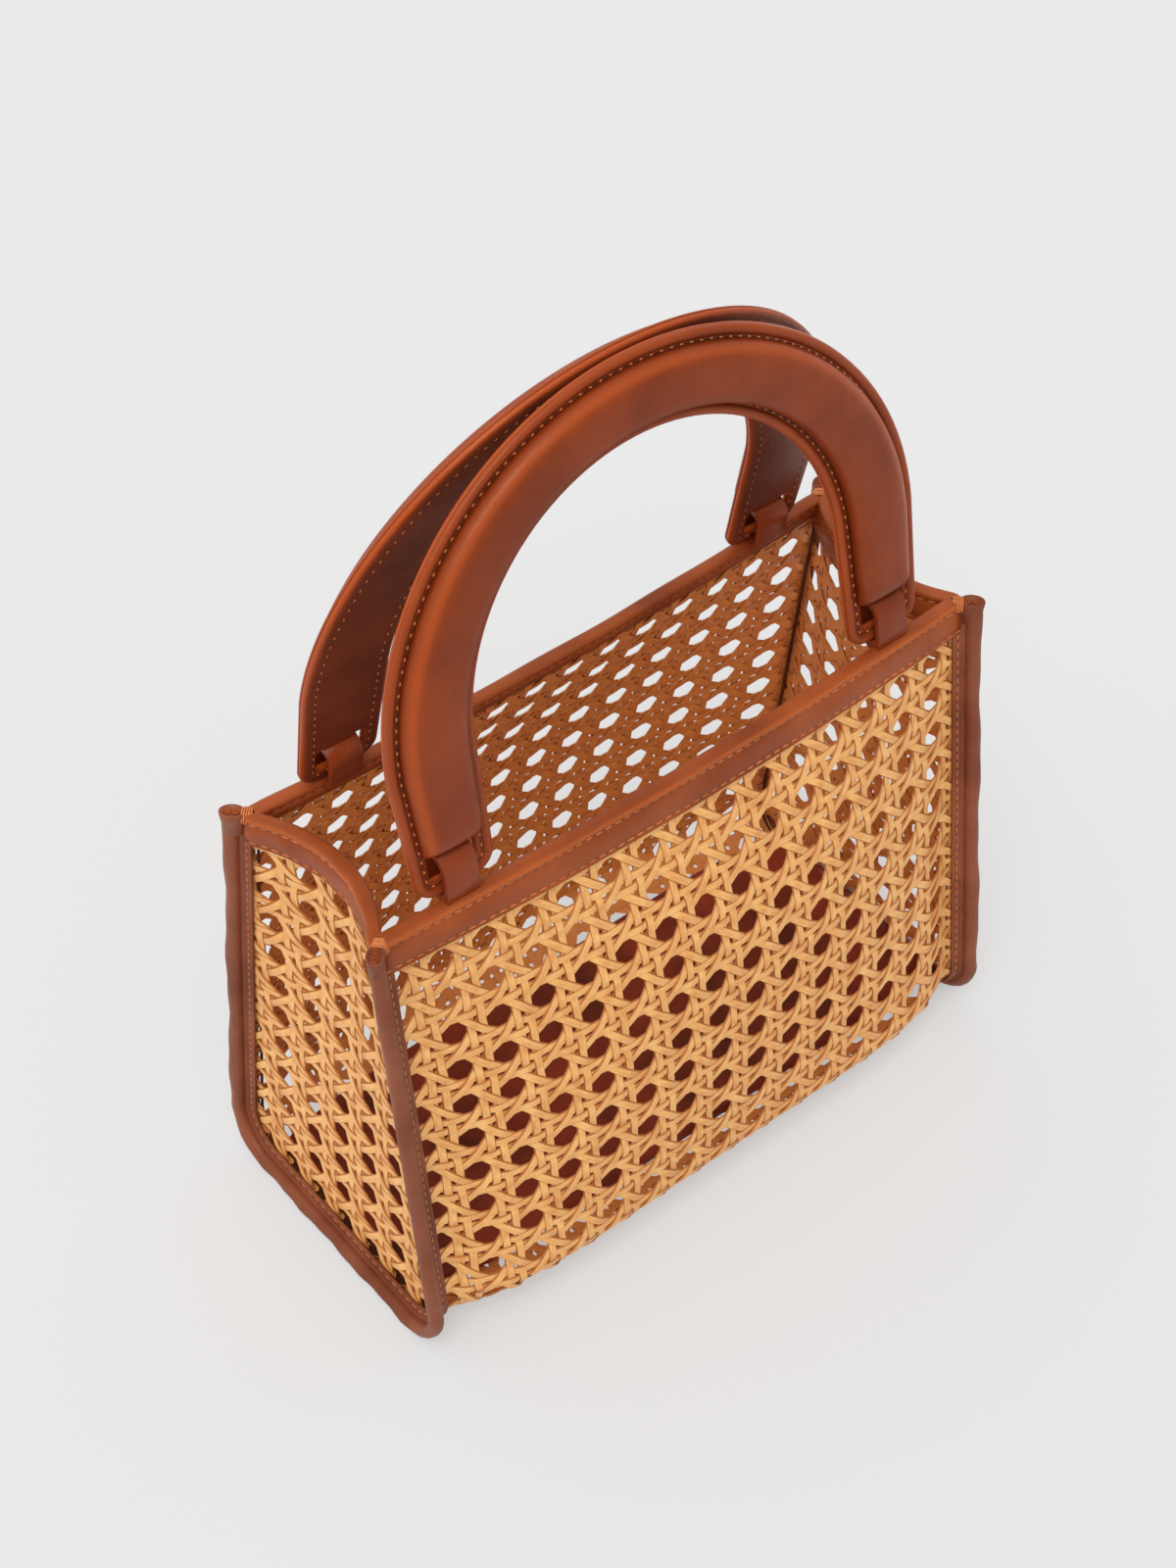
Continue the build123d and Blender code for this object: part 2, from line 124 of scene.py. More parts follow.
# Handles, in the handle's own plane
HANDLE_WIDTH = 208.0
HANDLE_HEIGHT = 145.0
HAND_GAP_WIDTH = 144.0
HAND_GAP_HEIGHT = 117.0
ARCH_START = 45.0
FOOT_TAPER = 2.0
FOOT_CORNER = 7.0
FOOT_X = (HANDLE_WIDTH + HAND_GAP_WIDTH) / 4
FLANGE = 4.6
PAD_START = 16.2
PAD_RISE = 6.4
PAD_SINK = 0.3
PAD_CREST = 0.55
PAD_OUTER_POWER = 3.1
PAD_INNER_POWER = 4.2
PAD_END_POWER = 2.6
PAD_END_REACH = 7.0
STITCH_INSET = 4.2
EDGE_ROLL = 1.3
LINING_INSET = 1.5
LINING_ROLL = 0.3
LINING_BACK = -1.52
LINING_FRONT = -0.6
LIP = 6.0
SLOT_WIDTH = 17.6
SLOT_HEIGHT = 9.9
SLOT_CORNER = 2.0
STRAP_NARROWING = 0.85

# Stitches, threads, curled edges, and dark tubes of painted shade in seams and furrows
STITCH_SHARE = 0.74
HANDLE_STITCH_SHARE = 0.38
SEAM_SHADE_SINK = 3.0
FURROW_SHADE_SINK = 0.1
TACK_TURNS = 5
TACK_STEP = 0.75
TACK_REACH = 3.0
TACK_DROP = 3.4
SEAM_SHADE_THICKNESS = 1.1
TACK_THICKNESS = 0.6
CURL_THICKNESS = 0.62
FURROW_SHADE_THICKNESS = 0.5

# The studio: tones of the paper, levels of the light and where it comes from
FLOOR_REACH = 4000.0
PAPER_TONE = 221
GLOW_TONE = 228
GLOW_SHARE = 0.55
BACKDROP_LEVEL = 0.83
LOW_LEVEL = 0.3
OVERHEAD_LEVEL = 2.1
OVERHEAD = (-0.3, 0.2, 0.93)
KEY_HEADING = (0.4, 0.4, -1.0)
KEY_SPREAD = radians(30)
AIM_HEIGHT = 80.0

# What follows from the sizes above
SIDE_FACE = BAG_WIDTH / 2
SIDE_SLOPE = (BASE_DEPTH - MOUTH_DEPTH) / 2 / (BAG_HEIGHT - FLOOR_GAP)
SIDE_ANGLE = atan(SIDE_SLOPE)
BULGE_HALF_WIDTH = BAG_WIDTH / 2 - SELVEDGE
PANEL_FOOT = FLOOR_GAP + CANE_THICKNESS + SELVEDGE
CANE_TOP = BAG_HEIGHT - RIM_SKIN - 0.5


def side_y(z, inset=0.0):
    """Half depth of the bag's side edge at a height."""
    return MOUTH_DEPTH / 2 + SIDE_SLOPE * (BAG_HEIGHT - z) - inset / cos(SIDE_ANGLE)


FOLD_Y = side_y(FLOOR_GAP + FOLD_RADIUS, FOLD_RADIUS)
FOLD_Z = FLOOR_GAP + FOLD_RADIUS
FOLD_TOP = FOLD_Z + FOLD_RADIUS * sin(SIDE_ANGLE)


def bulge(z, rim_bulge):
    """Outward bulge of a wall at mid width, flat behind the stiff rim."""
    t = np.clip((BAG_HEIGHT - z) / (BAG_HEIGHT - FOLD_TOP), 0, 1)
    return rim_bulge * (1 - t) ** 3 + 4 * WALL_BULGE * t * (1 - t) * (1 - (1 - t) ** 6)


def bulge_share(x):
    """How much of a wall's bulge shows at a distance from mid width."""
    return np.clip(1 - (np.asarray(x) / BULGE_HALF_WIDTH) ** 2, 0, 1)


def foot_share(share):
    """How much of the belly above the bottom fold shows: nearly all but beside the bindings."""
    return 1 - (1 - share) ** 3


def bow(z):
    """Inward bow of a gusset at mid depth."""
    t = np.clip((z - PANEL_FOOT) / (CANE_TOP - PANEL_FOOT), 0, 1)
    return SIDE_BOW * t * t * (3 - 2 * t)


def bow_share(y, z):
    """How much of a gusset's bow shows at a distance from mid depth."""
    return np.clip(1 - (y / side_y(z, BOW_INSET)) ** 2, 0, 1)


def half_profile(share, inset, rim_bulge, count=241):
    """Points evenly spaced down the wall, round the fold and under to mid depth."""
    end_y = FOLD_Y + (FOLD_RADIUS - inset) * cos(SIDE_ANGLE)
    end_z = FOLD_Z + (FOLD_RADIUS - inset) * sin(SIDE_ANGLE)
    z = np.linspace(BAG_HEIGHT, end_z, 120)
    span = BAG_HEIGHT - FOLD_TOP
    down = np.clip((BAG_HEIGHT - z) / span, 0, 1)
    foot = foot_share(share) * FOOT_BULGE
    wall = np.stack([side_y(z, inset) + share * bulge(z, rim_bulge) + foot * down**3, z], 1)
    end_y += foot
    fold_y = FOLD_Y + FOLD_FOLLOWS * foot
    wall[-1] = end_y, end_z
    lean = atan(SIDE_SLOPE + (3 * foot - 4 * WALL_BULGE * share) / span)
    pull = 4 / 3 * tan((pi / 2 + lean) / 4) * (FOLD_RADIUS - inset)
    foot_z = FLOOR_GAP + inset
    ends = np.array(
        [
            (end_y, end_z),
            (end_y + pull * sin(lean), end_z - pull * cos(lean)),
            (fold_y + pull, foot_z),
            (fold_y, foot_z),
        ]
    )
    u = np.linspace(0, 1, 50)[1:, None]
    fold = (1 - u) ** 3 * ends[0] + 3 * u * (1 - u) ** 2 * ends[1]
    fold += 3 * u**2 * (1 - u) * ends[2] + u**3 * ends[3]
    under = np.stack([np.linspace(fold_y, 0, 30)[1:], np.full(29, foot_z)], 1)
    points = np.concatenate([wall, fold, under])
    run = np.concatenate([[0], np.cumsum(np.hypot(*np.diff(points, axis=0).T))])
    even = np.linspace(0, run[-1], count)
    return np.stack([np.interp(even, run, points[:, i]) for i in (0, 1)], 1), run[-1]


SHARES = np.linspace(0, 1, 9)
PROFILES = np.stack(
    [
        [half_profile(share, CANE_MIDDLE, rim_bulge)[0] for share in SHARES]
        for rim_bulge in (FRONT_RIM_BULGE, BACK_RIM_BULGE)
    ]
)
HALF_LENGTH = half_profile(0.5, CANE_MIDDLE, FRONT_RIM_BULGE)[1]


def wrap_point(x, s):
    """Place on the cane strip, s millimetres along it from the front's top edge."""
    back = s > HALF_LENGTH
    along = np.where(back, 2 * HALF_LENGTH - s, s) / HALF_LENGTH * (PROFILES.shape[2] - 1)
    share = bulge_share(x) * (len(SHARES) - 1)
    wall = back.astype(int)
    k = np.clip(along.astype(int), 0, PROFILES.shape[2] - 2)
    m = np.clip(share.astype(int), 0, len(SHARES) - 2)
    f = np.clip(along - k, 0, 1)[:, None]
    g = (share - m)[:, None]
    low = PROFILES[wall, m, k] * (1 - f) + PROFILES[wall, m, k + 1] * f
    high = PROFILES[wall, m + 1, k] * (1 - f) + PROFILES[wall, m + 1, k + 1] * f
    y, z = (low * (1 - g) + high * g).T
    return np.stack([x, np.where(back, y, -y), z], 1)


def gusset_point(y, s):
    """Place on the right gusset, s millimetres below its top edge."""
    z = BAG_HEIGHT - s
    return np.stack([SIDE_FACE - CANE_MIDDLE - bow(z) * bow_share(y, z), y, z], 1)


def laid_on(surface, flat):
    """Flat points (across, minus the way down, height) laid on a curved surface."""
    u, s, height = flat[:, 0], -flat[:, 1], flat[:, 2]
    step = 0.5
    place = surface(u, s)
    across = surface(u + step, s) - surface(u - step, s)
    down = surface(u, s + step) - surface(u, s - step)
    normal = np.cross(down, across)
    normal /= np.linalg.norm(normal, axis=1)[:, None]
    return place + normal * height[:, None]


# Objects and meshes


def linked(name, data):
    """New object in the scene."""
    obj = bpy.data.objects.new(name, data)
    bpy.context.scene.collection.objects.link(obj)
    return obj


def shade_smooth(mesh):
    for face in mesh.polygons:
        face.use_smooth = True


def new_object(name, verts, faces, material):
    """Smooth object at the origin from points in millimetres."""
    mesh = bpy.data.meshes.new(name)
    mesh.from_pydata((np.asarray(verts, float) * MM).tolist(), [], faces)
    mesh.validate()
    mesh.update()
    shade_smooth(mesh)
    mesh.materials.append(material)
    return linked(name, mesh)


def plain_mesh(obj, name):
    """A plain mesh object of obj as its modifiers leave it; obj is removed."""
    graph = bpy.context.evaluated_depsgraph_get()
    mesh = bpy.data.meshes.new_from_object(obj.evaluated_get(graph), depsgraph=graph)
    bpy.data.objects.remove(obj)
    mesh.name = name
    return linked(name, mesh)


def mended(mesh, doubles=0.0):
    """Merges points closer than doubles and turns the faces outwards."""
    build = bmesh.new()
    build.from_mesh(mesh)
    if doubles:
        bmesh.ops.remove_doubles(build, verts=build.verts, dist=doubles * MM)
    bmesh.ops.recalc_face_normals(build, faces=build.faces)
    build.to_mesh(mesh)
    build.free()


def joined(objects, name):
    """Several mesh objects made into one."""
    build = bmesh.new()
    materials = []
    for obj in objects:
        first = len(build.faces)
        build.from_mesh(obj.data)
        build.faces.ensure_lookup_table()
        material = obj.data.materials[0]
        if material not in materials:
            materials.append(material)
        for face in build.faces[first:]:
            face.material_index = materials.index(material)
    mesh = bpy.data.meshes.new(name)
    build.to_mesh(mesh)
    build.free()
    for material in materials:
        mesh.materials.append(material)
    for obj in objects:
        bpy.data.objects.remove(obj)
    return linked(name, mesh)


def softened_copy(node, name, material, edge, angle=35):
    """Copy of a CAD node's mesh with its doubles merged and its sharp edges rounded."""
    build = bmesh.new()
    build.from_mesh(frame["nodes"][node].data)
    bmesh.ops.remove_doubles(build, verts=build.verts, dist=0.01 * MM)
    bmesh.ops.dissolve_limit(build, angle_limit=radians(1), verts=build.verts, edges=build.edges)
    mesh = bpy.data.meshes.new(name)
    build.to_mesh(mesh)
    build.free()
    shade_smooth(mesh)
    mesh.materials.append(material)
    obj = linked(name, mesh)
    bevel = obj.modifiers.new("Edge", "BEVEL")
    bevel.width = edge * MM
    bevel.segments = 2
    bevel.limit_method = "ANGLE"
    bevel.angle_limit = radians(angle)
    bevel.harden_normals = True
    obj = plain_mesh(obj, name)
    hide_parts(node)
    return obj


def capped_sweep(name, rows, material):
    """Closed form from lines of points laid side by side round a section."""
    count, around = len(rows[0]), len(rows)
    faces = []
    for k in range(around):
        other = (k + 1) % around
        for i in range(count - 1):
            a, b = k * count + i, other * count + i
            faces.append((a, a + 1, b + 1, b))
    faces.append(tuple(k * count for k in range(around)))
    faces.append(tuple(k * count + count - 1 for k in range(around)))
    obj = new_object(name, np.concatenate(rows), faces, material)
    mended(obj.data)
    return obj


def poly_curve(name, lines, closed, dimensions="3D"):
    """Curve of straight pieces along lines of points in millimetres."""
    curve = bpy.data.curves.new(name, "CURVE")
    curve.dimensions = dimensions
    for line in lines:
        spline = curve.splines.new("POLY")
        spline.points.add(len(line) - 1)
        for point, place in zip(spline.points, line):
            point.co = (place[0] * MM, place[1] * MM, place[2] * MM, 1)
        spline.use_cyclic_u = closed
    return curve


def sheen_and_wear(obj, values):
    """Marks where the leather is painted lighter: a painted sheen where light catches it, with the
    lighter wear of handling.
    """
    mark = obj.data.attributes.new("sheen_and_wear", "FLOAT", "POINT")
    mark.data.foreach_set("value", np.asarray(values, float))


# Materials

# Gains of the lighter tone painted on marked leather: a painted highlight, with the lighter wear of
# handling
SHEEN_AND_WEAR_GAIN = (1.75, 1.9, 1.6, 1.0)


def add_node(tree, kind, values=None, **settings):
    """New node: its settings are made first, then its inputs get their values."""
    node = tree.nodes.new(kind)
    for name, value in settings.items():
        setattr(node, name, value)
    for socket, value in (values or {}).items():
        node.inputs[socket].default_value = value
    return node


def wire(tree, *links):
    """Joins nodes; each link is a node, its output, the next node and its input."""
    for source, output, goal, socket in links:
        tree.links.new(source.outputs[output], goal.inputs[socket])


def new_group(name, inputs, outputs):
    """Shader node group with its sockets and its input and output nodes."""
    group = bpy.data.node_groups.new(name, "ShaderNodeTree")
    for socket, kind, value in inputs:
        made = group.interface.new_socket(socket, in_out="INPUT", socket_type=kind)
        made.default_value = value
    for socket, kind in outputs:
        group.interface.new_socket(socket, in_out="OUTPUT", socket_type=kind)
    return group, add_node(group, "NodeGroupInput"), add_node(group, "NodeGroupOutput")


def new_material(name):
    """Material with its node tree and its shader."""
    material = bpy.data.materials.new(name)
    material.use_nodes = True
    return material, material.node_tree, material.node_tree.nodes["Principled BSDF"]


def math_output(tree, operation, first, second):
    """Output of a new Math node; each side is a number or another output."""
    node = add_node(tree, "ShaderNodeMath", operation=operation)
    for socket, value in zip(node.inputs, (first, second)):
        if isinstance(value, (int, float)):
            socket.default_value = value
        else:
            tree.links.new(value, socket)
    return node.outputs[0]


def linear(*rgb):
    """Screen colour, 0 to 255, as a linear one."""
    share = np.asarray(rgb, float) / 255
    low = share / 12.92
    high = ((share + 0.055) / 1.055) ** 2.4
    return tuple(np.where(share <= 0.04045, low, high)) + (1.0,)


def hide_group():
    """Tanned hide: uneven colour, fine pores and a soft grain."""
    group, start, end = new_group(
        "Tanned hide",
        [
            ("Light", "NodeSocketColor", (0.5, 0.2, 0.1, 1)),
            ("Dark", "NodeSocketColor", (0.3, 0.1, 0.05, 1)),
            ("Grain Scale", "NodeSocketFloat", 900.0),
            ("Grain Depth", "NodeSocketFloat", 0.15),
            ("Roughness", "NodeSocketFloat", 0.4),
        ],
        [
            ("Color", "NodeSocketColor"),
            ("Roughness", "NodeSocketFloat"),
            ("Normal", "NodeSocketVector"),
        ],
    )
    links = group.links
    place = add_node(group, "ShaderNodeTexCoord")
    patches = add_node(group, "ShaderNodeTexNoise", {"Scale": 38, "Detail": 5})
    pores = add_node(group, "ShaderNodeTexVoronoi", feature="DISTANCE_TO_EDGE")
    grain = add_node(group, "ShaderNodeTexNoise", {"Detail": 4})
    waviness = {"Scale": 150, "Detail": 2, "Distortion": 0.6}
    creases = add_node(group, "ShaderNodeTexNoise", waviness)
    for texture in (patches, pores, grain, creases):
        links.new(place.outputs["Object"], texture.inputs["Vector"])
    for texture in (pores, grain):
        links.new(start.outputs["Grain Scale"], texture.inputs["Scale"])

    spread = add_node(group, "ShaderNodeMapRange", {"From Min": 0.35, "From Max": 0.68})
    mix = add_node(group, "ShaderNodeMix", data_type="RGBA")
    wire(
        group,
        (patches, "Fac", spread, "Value"),
        (spread, "Result", mix, "Factor"),
        (start, "Light", mix, "A"),
        (start, "Dark", mix, "B"),
        (mix, "Result", end, "Color"),
    )

    wear_and_sheen = math_output(group, "MULTIPLY", patches.outputs["Fac"], 0.25)
    rough = math_output(group, "ADD", start.outputs["Roughness"], wear_and_sheen)
    links.new(rough, end.inputs["Roughness"])

    swell = add_node(group, "ShaderNodeBump", {"Distance": 0.0016, "Strength": 0.22})
    bump = add_node(group, "ShaderNodeBump", {"Distance": 0.0004})
    height = math_output(group, "MULTIPLY", pores.outputs["Distance"], grain.outputs["Fac"])
    links.new(height, bump.inputs["Height"])
    wire(
        group,
        (creases, "Fac", swell, "Height"),
        (swell, "Normal", bump, "Normal"),
        (start, "Grain Depth", bump, "Strength"),
        (bump, "Normal", end, "Normal"),
    )
    return group


def hide_material(name, light, dark, rough):
    """Leather in two tones, painted lighter where it is marked: a painted highlight, with the
    lighter wear of handling.
    """
    material, tree, shader = new_material(name)
    links = tree.links
    group = bpy.data.node_groups.get("Tanned hide") or hide_group()
    values = {"Light": light, "Dark": dark, "Roughness": rough}
    hide = add_node(tree, "ShaderNodeGroup", values, node_tree=group)
    # Painted highlight: marked places are mixed towards a lighter tone, a painted sheen with the
    # lighter wear of handling
    sheen_and_wear_mark = add_node(tree, "ShaderNodeAttribute", attribute_name="sheen_and_wear")
    lighter = tuple(value * gain for value, gain in zip(light, SHEEN_AND_WEAR_GAIN))
    wear_and_sheen = add_node(tree, "ShaderNodeMix", data_type="RGBA")
    wear_and_sheen.inputs["B"].default_value = lighter
    share = math_output(tree, "MULTIPLY", sheen_and_wear_mark.outputs["Fac"], 0.42)
    links.new(share, wear_and_sheen.inputs["Factor"])
    wire(
        tree,
        (hide, "Color", wear_and_sheen, "A"),
        (wear_and_sheen, "Result", shader, "Base Color"),
        (hide, "Roughness", shader, "Roughness"),
        (hide, "Normal", shader, "Normal"),
    )
    shader.inputs["Specular IOR Level"].default_value = 0.34
    shader.inputs["Specular Tint"].default_value = (1.0, 0.77, 0.57, 1.0)
    return material


def cane_material(name, light, dark, pith, edge):
    """Peeled cane: fibres along each strand, a satin skin, narrow sides painted darker as painted
    shade along the edges, and a darker, redder back that is partly painted shade of the bag's
    inside.
    """
    material, tree, shader = new_material(name)
    links = tree.links
    place = add_node(tree, "ShaderNodeTexCoord")
    along = add_node(tree, "ShaderNodeMapping", {"Scale": (26.0, 1.1, 1.0)})
    fibres = add_node(tree, "ShaderNodeTexNoise", {"Scale": 1.0, "Detail": 3})
    patches = add_node(tree, "ShaderNodeTexNoise", {"Scale": 170, "Detail": 3})
    wire(
        tree,
        (place, "UV", along, "Vector"),
        (along, "Vector", fibres, "Vector"),
        (place, "Object", patches, "Vector"),
    )
    both = math_output(tree, "MULTIPLY", fibres.outputs["Fac"], patches.outputs["Fac"])
    spread = add_node(tree, "ShaderNodeMapRange", {"From Min": 0.12, "From Max": 0.46})
    links.new(both, spread.inputs["Value"])

    around = add_node(tree, "ShaderNodeSeparateXYZ")
    links.new(place.outputs["UV"], around.inputs["Vector"])
    turn = around.outputs["X"]
    # Masks of the strand's section: the two narrow sides take the edge tone, painted shade along
    # each strand's edges; the back takes the pith tone, partly painted shade
    past_skin = math_output(tree, "GREATER_THAN", turn, 3 / STRAND_SIDES)
    past_edge = math_output(tree, "GREATER_THAN", turn, 4 / STRAND_SIDES)
    first_edge = math_output(tree, "LESS_THAN", turn, 1 / STRAND_SIDES)
    other_edge = math_output(tree, "SUBTRACT", past_skin, past_edge)
    at_edge = math_output(tree, "ADD", first_edge, other_edge)

    shade = None
    for factor, tone in ((spread.outputs["Result"], dark), (past_edge, pith), (at_edge, edge)):
        mix = add_node(tree, "ShaderNodeMix", data_type="RGBA")
        mix.inputs["B"].default_value = tone
        links.new(factor, mix.inputs["Factor"])
        if shade:
            links.new(shade, mix.inputs["A"])
        else:
            mix.inputs["A"].default_value = light
        shade = mix.outputs["Result"]
    bump = add_node(tree, "ShaderNodeBump", {"Distance": 0.00012, "Strength": 0.5})
    links.new(fibres.outputs["Fac"], bump.inputs["Height"])
    links.new(shade, shader.inputs["Base Color"])
    links.new(bump.outputs["Normal"], shader.inputs["Normal"])
    shader.inputs["Roughness"].default_value = 0.4
    shader.inputs["Specular IOR Level"].default_value = 0.35
    return material


def thread_material(name, colour):
    """Twisted waxed thread."""
    material, tree, shader = new_material(name)
    place = add_node(tree, "ShaderNodeTexCoord")
    twist = add_node(tree, "ShaderNodeTexWave", {"Scale": 900}, bands_direction="DIAGONAL")
    bump = add_node(tree, "ShaderNodeBump", {"Distance": 0.0001, "Strength": 0.4})
    wire(
        tree,
        (place, "Object", twist, "Vector"),
        (twist, "Fac", bump, "Height"),
        (bump, "Normal", shader, "Normal"),
    )
    shader.inputs["Base Color"].default_value = colour
    shader.inputs["Roughness"].default_value = 0.55
    return material


def finish(name):
    """The bag's materials, each made when it is first asked for."""
    found = bpy.data.materials.get(name)
    if found:
        return found
    colours = bpy.context.scene.bag_leather
    cane = bpy.context.scene.bag_weave
    hides = {
        "Tan leather": (colours.light, colours.dark, 0.26),
        "Trim leather": (colours.trim, colours.trim_dark, 0.34),
        "Rim leather": (colours.rim, colours.rim_dark, 0.32),
        "Handle lining": (colours.lining, colours.lining_dark, 0.4),
        "Base leather": (colours.base, colours.lining_dark, 0.35),
        "Seam shadow": (linear(86, 36, 19), linear(62, 25, 13), 0.7),
    }
    if name in hides:
        light, dark, rough = hides[name]
        return hide_material(name, tuple(light), tuple(dark), rough)
    if name == "Orange thread":
        return thread_material(name, tuple(colours.thread))
    if name == "Cane":
        tones = (tuple(tone) for tone in (cane.light, cane.dark, cane.pith, cane.edge))
        return cane_material(name, *tones)
    raise ValueError(f"there is no finish named {name}")


# Geometry node trees


def new_tree(name, inputs):
    """Modifier's node tree with its sockets and its input and output nodes."""
    tree = bpy.data.node_groups.new(name, "GeometryNodeTree")
    tree.is_modifier = True
    for socket, kind in (("Geometry", "NodeSocketGeometry"), *inputs):
        tree.interface.new_socket(socket, in_out="INPUT", socket_type=kind)
    tree.interface.new_socket("Geometry", in_out="OUTPUT", socket_type="NodeSocketGeometry")
    return tree, add_node(tree, "NodeGroupInput"), add_node(tree, "NodeGroupOutput")


def grid_tree():
    """Repeats a cell of the weave in columns and rows."""
    tree, start, end = new_tree(
        "Repeat the weave's cell",
        [
            ("Cell", "NodeSocketObject"),
            ("Columns", "NodeSocketInt"),
            ("Rows", "NodeSocketInt"),
            ("Width", "NodeSocketFloat"),
            ("Height", "NodeSocketFloat"),
            ("Material", "NodeSocketMaterial"),
        ],
    )
    grid = add_node(tree, "GeometryNodeMeshGrid")
    cell = add_node(tree, "GeometryNodeObjectInfo")
    place = add_node(tree, "GeometryNodeInstanceOnPoints")
    realize = add_node(tree, "GeometryNodeRealizeInstances")
    weld = add_node(tree, "GeometryNodeMergeByDistance", {"Distance": 0.02 * MM})
    paint = add_node(tree, "GeometryNodeSetMaterial")
    wire(
        tree,
        (start, "Columns", grid, "Vertices X"),
        (start, "Rows", grid, "Vertices Y"),
        (start, "Width", grid, "Size X"),
        (start, "Height", grid, "Size Y"),
        (start, "Cell", cell, "Object"),
        (grid, "Mesh", place, "Points"),
        (cell, "Geometry", place, "Instance"),
        (place, "Instances", realize, "Geometry"),
        (realize, "Geometry", weld, "Geometry"),
        (weld, "Geometry", paint, "Geometry"),
        (start, "Material", paint, "Material"),
        (paint, "Geometry", end, "Geometry"),
    )
    return tree


def stitch_tree():
    """Sets stitches at an even pitch along the lines of a curve."""
    tree, start, end = new_tree(
        "Stitch along a line",
        [
            ("Pitch", "NodeSocketFloat"),
            ("Stitch Length", "NodeSocketFloat"),
            ("Thickness", "NodeSocketFloat"),
            ("Material", "NodeSocketMaterial"),
        ],
    )
    spots = add_node(tree, "GeometryNodeCurveToPoints", mode="LENGTH")
    form = {"Segments": 7, "Rings": 5, "Radius": 0.5}
    ball = add_node(tree, "GeometryNodeMeshUVSphere", form)
    size = add_node(tree, "ShaderNodeCombineXYZ")
    place = add_node(tree, "GeometryNodeInstanceOnPoints")
    realize = add_node(tree, "GeometryNodeRealizeInstances")
    smooth = add_node(tree, "GeometryNodeSetShadeSmooth")
    paint = add_node(tree, "GeometryNodeSetMaterial")
    wire(
        tree,
        (start, "Geometry", spots, "Curve"),
        (start, "Pitch", spots, "Length"),
        (start, "Thickness", size, "X"),
        (start, "Thickness", size, "Y"),
        (start, "Stitch Length", size, "Z"),
        (spots, "Points", place, "Points"),
        (ball, "Mesh", place, "Instance"),
        (spots, "Rotation", place, "Rotation"),
        (size, "Vector", place, "Scale"),
        (place, "Instances", realize, "Geometry"),
        (realize, "Geometry", smooth, "Geometry"),
        (smooth, "Geometry", paint, "Geometry"),
        (start, "Material", paint, "Material"),
        (paint, "Geometry", end, "Geometry"),
    )
    return tree


def grown(obj, tree, values, name):
    """obj with a node tree's inputs set by name, made a plain mesh."""
    modifier = obj.modifiers.new("Nodes", "NODES")
    modifier.node_group = tree
    for item in tree.interface.items_tree:
        if item.in_out == "INPUT" and item.name in values:
            modifier[item.identifier] = values[item.name]
    obj.update_tag()
    bpy.context.view_layer.update()
    return plain_mesh(obj, name)


# Cane weave


def strand_section(width, thickness):
    """Flat ribbon: two cut edges, a faintly domed skin between them, and two sides of pith."""
    half = width / 2
    return [
        (-half, -0.30 * thickness),
        (-0.78 * half, 0.42 * thickness),
        (0.0, 0.5 * thickness),
        (0.78 * half, 0.42 * thickness),
        (half, -0.30 * thickness),
        (0.0, -0.5 * thickness),
    ]


def weave_cell(settings):
    """One repeat of the weave about a hole: strand pairs both ways and two slanting strands."""
    p = settings.pitch / MM
    gap = settings.pair_gap / MM
    rise = settings.rise / MM
    section = strand_section(settings.strand_width / MM, settings.strand_thickness / MM)
    verts, faces, marks = [], [], []

    def strand(start, direction, length, height):
        heading = np.array(direction, float) / hypot(*direction)
        aside = np.array([heading[1], -heading[0]])
        base = len(verts)
        for i in range(STRAND_STEPS + 1):
            run = length * i / STRAND_STEPS
            middle = np.array(start) + heading * run
            for across, up in section:
                spot = middle + aside * across
                verts.append((spot[0], spot[1], height(run) + up))
        for i in range(STRAND_STEPS):
            near, far = (length * (i + k) / STRAND_STEPS * 0.2 + base for k in (0, 1))
            for k in range(STRAND_SIDES):
                a = base + i * STRAND_SIDES + k
                b = base + i * STRAND_SIDES + (k + 1) % STRAND_SIDES
                faces.append((a, a + STRAND_SIDES, b + STRAND_SIDES, b))
                low, high = k / STRAND_SIDES, (k + 1) / STRAND_SIDES
                marks.extend([(low, near), (low, far), (high, far), (high, near)])

    def woven(sign):
        def height(run):
            u = (run - p / 2) / gap
            return sign * rise * 0.5 * u * float(np.exp((1 - u * u) / 2))

        return height

    def slanting(sign):
        def height(run):
            return sign * rise * cos(2 * pi * run / (p * 2**0.5))

        return height

    for side in (-1, 1):
        strand((p / 2 + side * gap, 0), (0, 1), p, woven(-side))
        strand((0, p / 2 + side * gap), (1, 0), p, woven(side))
    strand((p / 2, 0), (-1, 1), p * 2**0.5, slanting(1))
    strand((-p / 2, 0), (1, 1), p * 2**0.5, slanting(-1))
    cell = new_object("weave_cell", verts, faces, finish("Cane"))
    uv = cell.data.uv_layers.new(name="Strand")
    uv.data.foreach_set("uv", np.array(marks, np.float32).ravel())
    return cell


def handmade(flat):
    """Small unevenness of hand-laid strands."""
    x, y = flat[:, 0], flat[:, 1]
    sway = HAND_SWAY * np.sin(0.13 * x + 0.31 * y)
    flat[:, 0] += sway + HAND_RIPPLE * np.sin(0.43 * y - 0.29 * x + 1)
    sway = HAND_SWAY * np.sin(0.27 * x - 0.15 * y + 2)
    flat[:, 1] += sway + HAND_RIPPLE * np.sin(0.31 * y + 0.47 * x)


